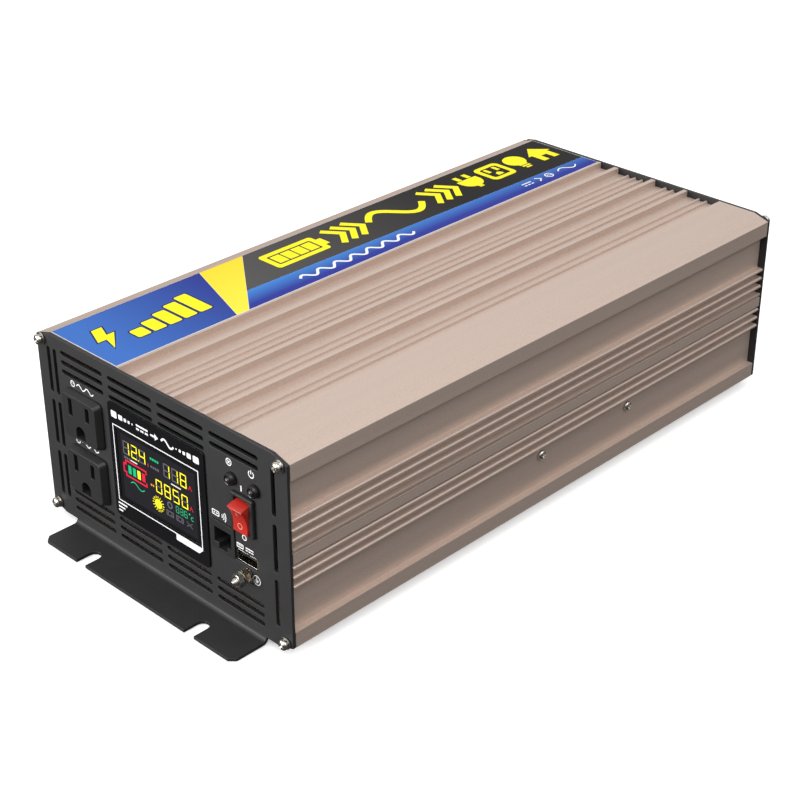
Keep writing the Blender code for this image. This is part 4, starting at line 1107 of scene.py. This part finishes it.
# ---------------- rear terminals
collar = [(4.4, -8.0), (4.4, 7.0), (9.6, 7.0), (10.1, 6.8), (10.4, 6.3), (11.2, 5.1), (11.5, 4.6),
          (11.5, 0.9), (11.3, 0.3), (7.2, 0.3), (7.2, -8.0)]
for polarity, plastic, slot_name in (("positive", TERMINAL_RED, "terminal_red"),
                                     ("negative", BLACK_PLASTIC, "black_plastic")):
    on_axis("dc_collar_" + polarity, "dc_insulator_" + polarity, REAR,
            solid(add_turned, collar, 48, ring=True), plastic, 50.0)
    on_axis("dc_thread_" + polarity, "dc_stud_" + polarity, REAR,
            solid(add_thread, 4.0, 0.45, 1.25, -18.0, 19.0, 24, 1.2), BRASS, 60.0)
    on_axis("dc_hex_" + polarity, "dc_nut_" + polarity, REAR, solid(add_hex_nut, 13.0, 4.05, 7.3, 13.3),
            BRASS, spin=0.2)
    softened("dc_strap_" + polarity, 0.0002, COPPER)

# ---------------- fan
softened("fan_frame", 0.0004, FAN_PLASTIC)
SPIN_AXIS = joint_place("fan_spin")
ROTOR_NEAR, ROTOR_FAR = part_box("fan_rotor")[0].y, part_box("fan_rotor")[1].y


def in_fan(radius, angle, y):
    """A point round the fan's axis: radius and y in metres."""
    return Vector((SPIN_AXIS.x + radius * math.cos(angle), y, SPIN_AXIS.z + radius * math.sin(angle)))


def add_blade(bm, turn, depth, across=7, along=8):
    """One fan blade from the hub outwards: swept, twisted and thickest in its middle."""
    rows = []
    for i in range(along + 1):
        t = i / along
        radius = (15.4 + 21.7 * t) * MM
        lead = math.radians(33.0 - 9.0 * t)
        sweep = math.radians(11.0) * t * t
        top, bottom = [], []
        for k in range(across + 1):
            s = k / across
            angle = turn + sweep + (s - 0.5) * lead + 0.10 * math.sin(math.pi * s)
            y = ROTOR_NEAR + (2.0 + (depth - 3.6) * s) * MM
            half = (0.18 + 0.42 * math.sin(math.pi * s)) * MM / radius
            top.append(in_fan(radius, angle + half, y))
            bottom.append(in_fan(radius, angle - half, y))
        rows.append(top + bottom[::-1])
    add_rows(bm, rows)


def make_rotor():
    depth = (ROTOR_FAR - ROTOR_NEAR) / MM
    hub = [(0.0, 0.0), (14.8, 0.0), (15.6, 0.3), (16.0, 1.0), (16.1, 2.0), (16.1, depth - 1.6),
           (15.7, depth - 0.7), (14.9, depth - 0.15), (13.8, depth), (11.5, depth), (11.2, depth - 0.35),
           (0.0, depth - 0.35)]
    bm = solid(add_turned, hub, 56)
    place = Matrix.Translation((SPIN_AXIS.x, ROTOR_NEAR, SPIN_AXIS.z)) @ TO_REAR
    bmesh.ops.transform(bm, matrix=place, verts=bm.verts)
    blades = 7
    for number in range(blades):
        add_blade(bm, 2 * math.pi * number / blades, depth)
    item = finish_piece("fan_wheel_blades", bm, FAN_PLASTIC, "fan_wheel", 40.0)
    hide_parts("fan_rotor")
    low, high = depth - 0.34, depth - 0.22
    disc = solid(add_turned, [(0.0, low), (10.6, low), (10.6, high), (0.0, high)], 48)
    bmesh.ops.transform(disc, matrix=place, verts=disc.verts)
    finish_piece("fan_hub_disc", disc, ink("hub_silver", (0.42, 0.42, 0.43), 0.35), "fan_wheel")


def make_guard():
    """Wire finger guard: rings on four diagonal wires that end in eyelets under the screws."""
    bm = bmesh.new()
    base = Y_BACK + GAP
    wire = 0.75 * MM
    for radius, proud in ((36.6, 1.7), (31.2, 2.7), (25.8, 3.4), (20.4, 3.8), (15.0, 4.0), (9.6, 4.1)):
        points = [in_fan(radius * MM, 2 * math.pi * k / 56, base + proud * MM) for k in range(56)]
        add_tube(bm, points, wire, closed=True)
    corner = middle("fan_screw_1") - SPIN_AXIS
    reach = math.hypot(corner.x, corner.z) / MM
    line = ((reach - 3.4, 0.85), (42.0, 0.85), (38.5, 0.9), (34.0, 1.2), (28.0, 2.0), (20.0, 2.6),
            (12.0, 2.9), (9.0, 3.0))
    for number in range(4):
        angle = math.pi / 4 + number * math.pi / 2
        add_tube(bm, [in_fan(radius * MM, angle, base + proud * MM) for radius, proud in line], wire)
        eye = in_fan(reach * MM, angle, base + 0.6 * MM)
        eyelet = [eye + Vector((a, 0.0, b)) * MM for a, b in circle(2.9, steps=28)]
        add_tube(bm, eyelet, 0.6 * MM, closed=True)
    item = finish_piece("fan_guard_wires", bm, NICKEL, sharp=60.0)
    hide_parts("fan_guard")


make_rotor()
make_guard()

# ---------------- what stays as CAD, with its finish
for material, nodes in (
    (LCD_DARK, ("lcd_module",)),
    (ALUMINIUM, ("heat_sink_left", "heat_sink_right")),
    (BOARD_GREEN, ("main_board", "display_board")),
    (FERRITE, ("transformer_1", "transformer_2", "transformer_3")),
    (SLEEVE, ("bus_capacitor", "input_capacitor")),
    (COPPER, ("output_choke",)),
):
    for node in nodes:
        NODES[node].data.materials.clear()
        NODES[node].data.materials.append(material)


# ---------------- floor and light
def make_floor():
    """A pale sweep: flat under the object, rising to a wall well behind it on every side."""
    sweep = [(0.0, 0.0), (3.2, 0.0), (3.7, 0.06), (4.2, 0.3), (4.6, 0.75), (4.85, 1.4), (4.95, 2.2),
             (5.0, 3.2)]
    mesh = bpy.data.meshes.new("floor")
    bm = solid(add_turned, sweep, 96, unit=1.0)
    bm.to_mesh(mesh)
    bm.free()
    mesh.shade_smooth()
    paper = finish_material("floor_paper", (0.92, 0.92, 0.92), 0.8, specular=0.1, mottle=(3.0, 0.01),
                            grain=(400.0, 0.01))
    shader = paper.node_tree.nodes["Principled BSDF"]
    shader.inputs["Emission Color"].default_value = (1.0, 1.0, 1.0, 1.0)
    shader.inputs["Emission Strength"].default_value = 0.4
    mesh.materials.append(paper)
    item = bpy.data.objects.new("floor", mesh)
    item.location.z = -0.0004
    item.visible_diffuse = False
    item.visible_glossy = False
    item.visible_shadow = False
    scene.collection.objects.link(item)


def softbox(name, place, target, size, radiance):
    """A rectangular lamp of the given radiance, aimed at a point."""
    data = bpy.data.lights.new(name, "AREA")
    data.shape = "RECTANGLE"
    data.size, data.size_y = size
    data.energy = radiance * math.pi * size[0] * size[1]
    item = bpy.data.objects.new(name, data)
    item.location = place
    item.rotation_euler = (Vector(target) - Vector(place)).to_track_quat("-Z", "Y").to_euler()
    item.visible_camera = False
    scene.collection.objects.link(item)


def studio_world():
    """Even light from above that falls off towards and below the horizon."""
    world = bpy.data.worlds.new("studio")
    world.use_nodes = True
    tree = world.node_tree
    background = tree.nodes["Background"]
    background.inputs["Color"].default_value = (1.0, 0.985, 0.97, 1.0)
    level = remap(tree, coordinate(tree, "Generated", "Z"), 0.07, 0.78, -0.05, 0.45)
    tree.links.new(level, background.inputs["Strength"])
    return world


make_floor()
softbox("top_light", (0.40, -0.65, 1.05), (0.0, 0.0, 0.05), (0.9, 0.9), 2.0)
softbox("back_light", (-0.9, 1.2, 1.5), (0.0, 0.0, 0.08), (1.2, 0.9), 0.35)
softbox("side_light", (1.5, 0.3, 1.4), (0.0, 0.0, 0.05), (0.9, 0.8), 4.0)
softbox("front_light", (-0.7, -1.9, 0.35), (0.0, 0.0, 0.05), (1.5, 0.8), 11.0)
scene.world = studio_world()
scene.view_settings.view_transform = "Standard"
